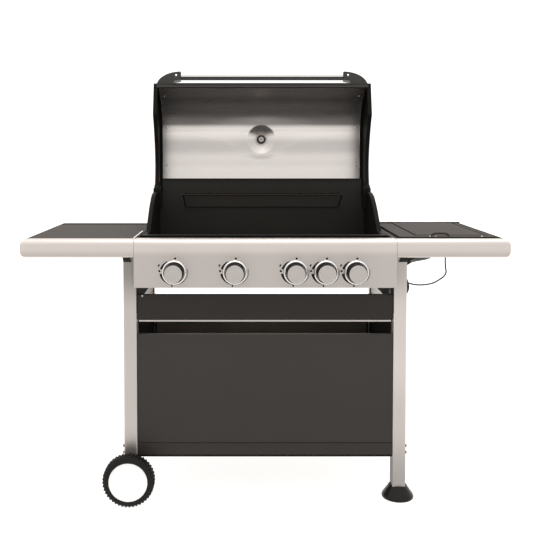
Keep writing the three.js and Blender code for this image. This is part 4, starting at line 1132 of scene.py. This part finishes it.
def bracket(hand, side):
    """Bracket of the handle: an arm round the bar's end, a foot under the lid's edge, and a screw."""
    bar_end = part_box("handle_bar")[1].x / MM + 0.3
    lid_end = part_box("lid_skin")[1].x / MM
    thick = 12 * MM
    arm = [(bar_end + 75 * sine, -318 - 46.5 * cosine) for cosine, sine in arc((0, 0), 1, 0, 90, 12)]
    arm += [(bar_end + 75, -314.6), (bar_end + 34, -314.6), (bar_end + 23, -319), (bar_end + 19, -334)]
    arm += [(bar_end, -337)]
    pad = [(lid_end + x, y) for x, y in ((3.3, -316.8), (-32.7, -316.8), (-32.7, -302.5), (3.3, -302.5))]

    def plate(outline, low, high):
        return placed(prism([(side * x * MM, HINGE.y + y * MM) for x, y in outline], low, high), LID)

    node = f"handle_bracket_{hand}"
    bm = plate(arm, HANDLE_Z - thick, HANDLE_Z + thick)
    piece(f"{node}_arm", bm, "black_plastic", "lid", replaces=[node], bevel=1.2 * MM)
    bm = plate(pad, *span(HINGE.z, -103.3, -101))
    piece(f"handle_foot_{hand}", bm, "black_plastic", "lid", bevel=0.5 * MM)
    at = (side * (bar_end + 14.5) * MM, HINGE.y - 351.5 * MM, HANDLE_Z - thick)
    screw(f"handle_screw_{hand}", at, (0, 0, -1), 3.4, "chrome", "lid", "chrome", LID)


handle("handle_bar")
handle_painted_reflection()
for hand, side in HANDS.items():
    bracket(hand, side)


# ---------------------------------------- side burner and shelf edges
refine("side_burner", 0.6 * MM)
refine("side_burner_trivet", 0.8 * MM)
refine("side_burner_cover", 0.6 * MM, segments=3)
DECK_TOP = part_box("shelf_deck_left")[1].z  # level of both shelves
# Painted shade: dark lines on the shelves and the burner's cover, in a dark copy of the shelf paint.
EDGE_SHADE = ("edge_black", "shelf_paint")


def left_shelf_edges():
    """Painted shade: a dark strip along the rear of the left shelf; and the bright trim beside the cook box."""
    low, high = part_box("shelf_deck_left")
    x, y = inset(low.x, high.x, 3, 2), span(high.y, -38, -1)
    strip("shelf_edge_left", x, y, span(DECK_TOP, -0.5, 0.4), *EDGE_SHADE)
    x, y = span(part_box("control_panel")[0].x, -3.1, 0.3), span(FRONT, 19, 193)
    strip("shelf_trim_left", x, y, span(DECK_TOP, -0.5, 3.6), "chrome", "stainless", bevel=0.4 * MM)


def right_shelf_edges():
    """Painted shade: dark strips along the side and rear of the right shelf, and a dark seam beside the burner's
    cover.
    """
    low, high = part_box("shelf_deck_right")
    side, flat = span(high.x, -15, -1.5), span(DECK_TOP, -0.5, 0.5)
    strip("shelf_edge_right", side, inset(low.y, high.y, 4, 1), flat, *EDGE_SHADE)
    x, z = inset(low.x, high.x, 22, 1.5), span(DECK_TOP, -0.5, 4.6)
    strip("shelf_edge_back", x, span(high.y, -4, -1), z, *EDGE_SHADE, bevel=0.4 * MM)
    strip("shelf_seam", span(low.x, 12.6, 16), inset(low.y, high.y, 4, 6), flat, *EDGE_SHADE)


def cover_edges():
    """Turned-out side, dark lines of painted shade, and rivets of the side burner's cover."""
    low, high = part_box("side_burner_cover")
    x, y, z = span(low.x, -23.6, 11), inset(low.y, high.y, 2, 6), span(DECK_TOP, 1.2, 4.7)
    strip("cover_flange", x, y, z, "shelf_paint", body="side_cover", bevel=0.8 * MM)
    x, y, z = span(high.x, -18, -14.5), inset(low.y, high.y, 18, 10), span(DECK_TOP, 4.2, 4.9)
    strip("cover_line", x, y, z, *EDGE_SHADE, "side_cover")
    x, y, z = inset(low.x, high.x, -15, 6), span(high.y, -42, -7), span(DECK_TOP, 4.2, 4.95)
    strip("cover_rear_edge", x, y, z, *EDGE_SHADE, "side_cover")
    for number, along in enumerate((60, 75, 198), 1):
        at = (low.x + along * MM, low.y + 9 * MM, DECK_TOP + 4.6 * MM)
        screw(f"cover_rivet_{number}", at, (0, -0.5, 1), 2.5, "zinc", "side_cover", "stainless", sunk=0.8)


left_shelf_edges()
right_shelf_edges()
cover_edges()


# ---------------------------------------- floor, light and surroundings
FLOOR_REACH = 12.0
WARM_WHITE = (1.0, 0.985, 0.965, 1)


def stage():
    """Pale floor that glows under and behind the grill, hardly in front of it, and again far in front."""
    bm = bmesh.new()
    near, far = -FLOOR_REACH, FLOOR_REACH
    corners = ((near, near), (far, near), (far, far), (near, far))
    bm.faces.new([bm.verts.new((x, y, 0.0)) for x, y in corners])
    mesh = bpy.data.meshes.new("floor")
    bm.to_mesh(mesh)
    bm.free()
    floor = bpy.data.objects.new("floor", mesh)
    bpy.context.scene.collection.objects.link(floor)
    finish("floor_white", (0.30, 0.298, 0.295), 0.7, tint=0.004, grain=40, bump=0.0, specular=0.1)
    material = LOOKS["floor_white"]
    tree = material.node_tree
    y = axes(tree)["Y"]
    far_glow = ramp(tree, y, -6.5, -2.2, 0.72, 0.0)
    near_glow = ramp(tree, y, -1.3, -0.55, 0.16, 0.92)
    fill(tree, tree.nodes["Principled BSDF"], {
        "Emission Color": WARM_WHITE,
        "Emission Strength": calculate(tree, "ADD", far_glow, near_glow),
    })
    floor.data.materials.append(material)


def surroundings():
    """White room, brightest overhead and behind the grill, dimmer behind the camera."""
    world = bpy.data.worlds.new("studio")
    bpy.context.scene.world = world
    world.use_nodes = True
    tree = world.node_tree
    along = axes(tree, "Generated")
    y, z = along["Y"], along["Z"]
    depth = ramp(tree, y, -0.6, 0.6, 0.58, 1.06)
    middle = ramp(tree, z, -0.06, 0.10, 0.0, 0.33)
    height = ramp(tree, z, 0.25, 0.85, 0.0, 0.6)
    behind_camera = ramp(tree, y, -0.5, -0.1, -0.15, 0.0)
    below_horizon = ramp(tree, z, -0.03, 0.02, 1.0, 0.0)
    sky = depth
    for term in (middle, height, calculate(tree, "MULTIPLY", behind_camera, below_horizon)):
        sky = calculate(tree, "ADD", sky, term)
    fill(tree, tree.nodes["Background"], {"Color": WARM_WHITE, "Strength": sky})


def lamp(name, at, target, size, power):
    """Soft rectangular light that faces its target."""
    data = bpy.data.lights.new(name, "AREA")
    data.shape = "RECTANGLE"
    data.size, data.size_y = size
    data.energy = power
    item = bpy.data.objects.new(name, data)
    item.location = at
    item.rotation_euler = (Vector(target) - Vector(at)).to_track_quat("-Z", "Y").to_euler()
    bpy.context.scene.collection.objects.link(item)


stage()
surroundings()
lamp("overhead", at=(0.2, -0.3, 2.9), target=(0, 0.0, 0.6), size=(2.6, 1.8), power=26)
bpy.context.scene.view_settings.view_transform = "Standard"
bpy.context.scene.view_settings.look = "None"
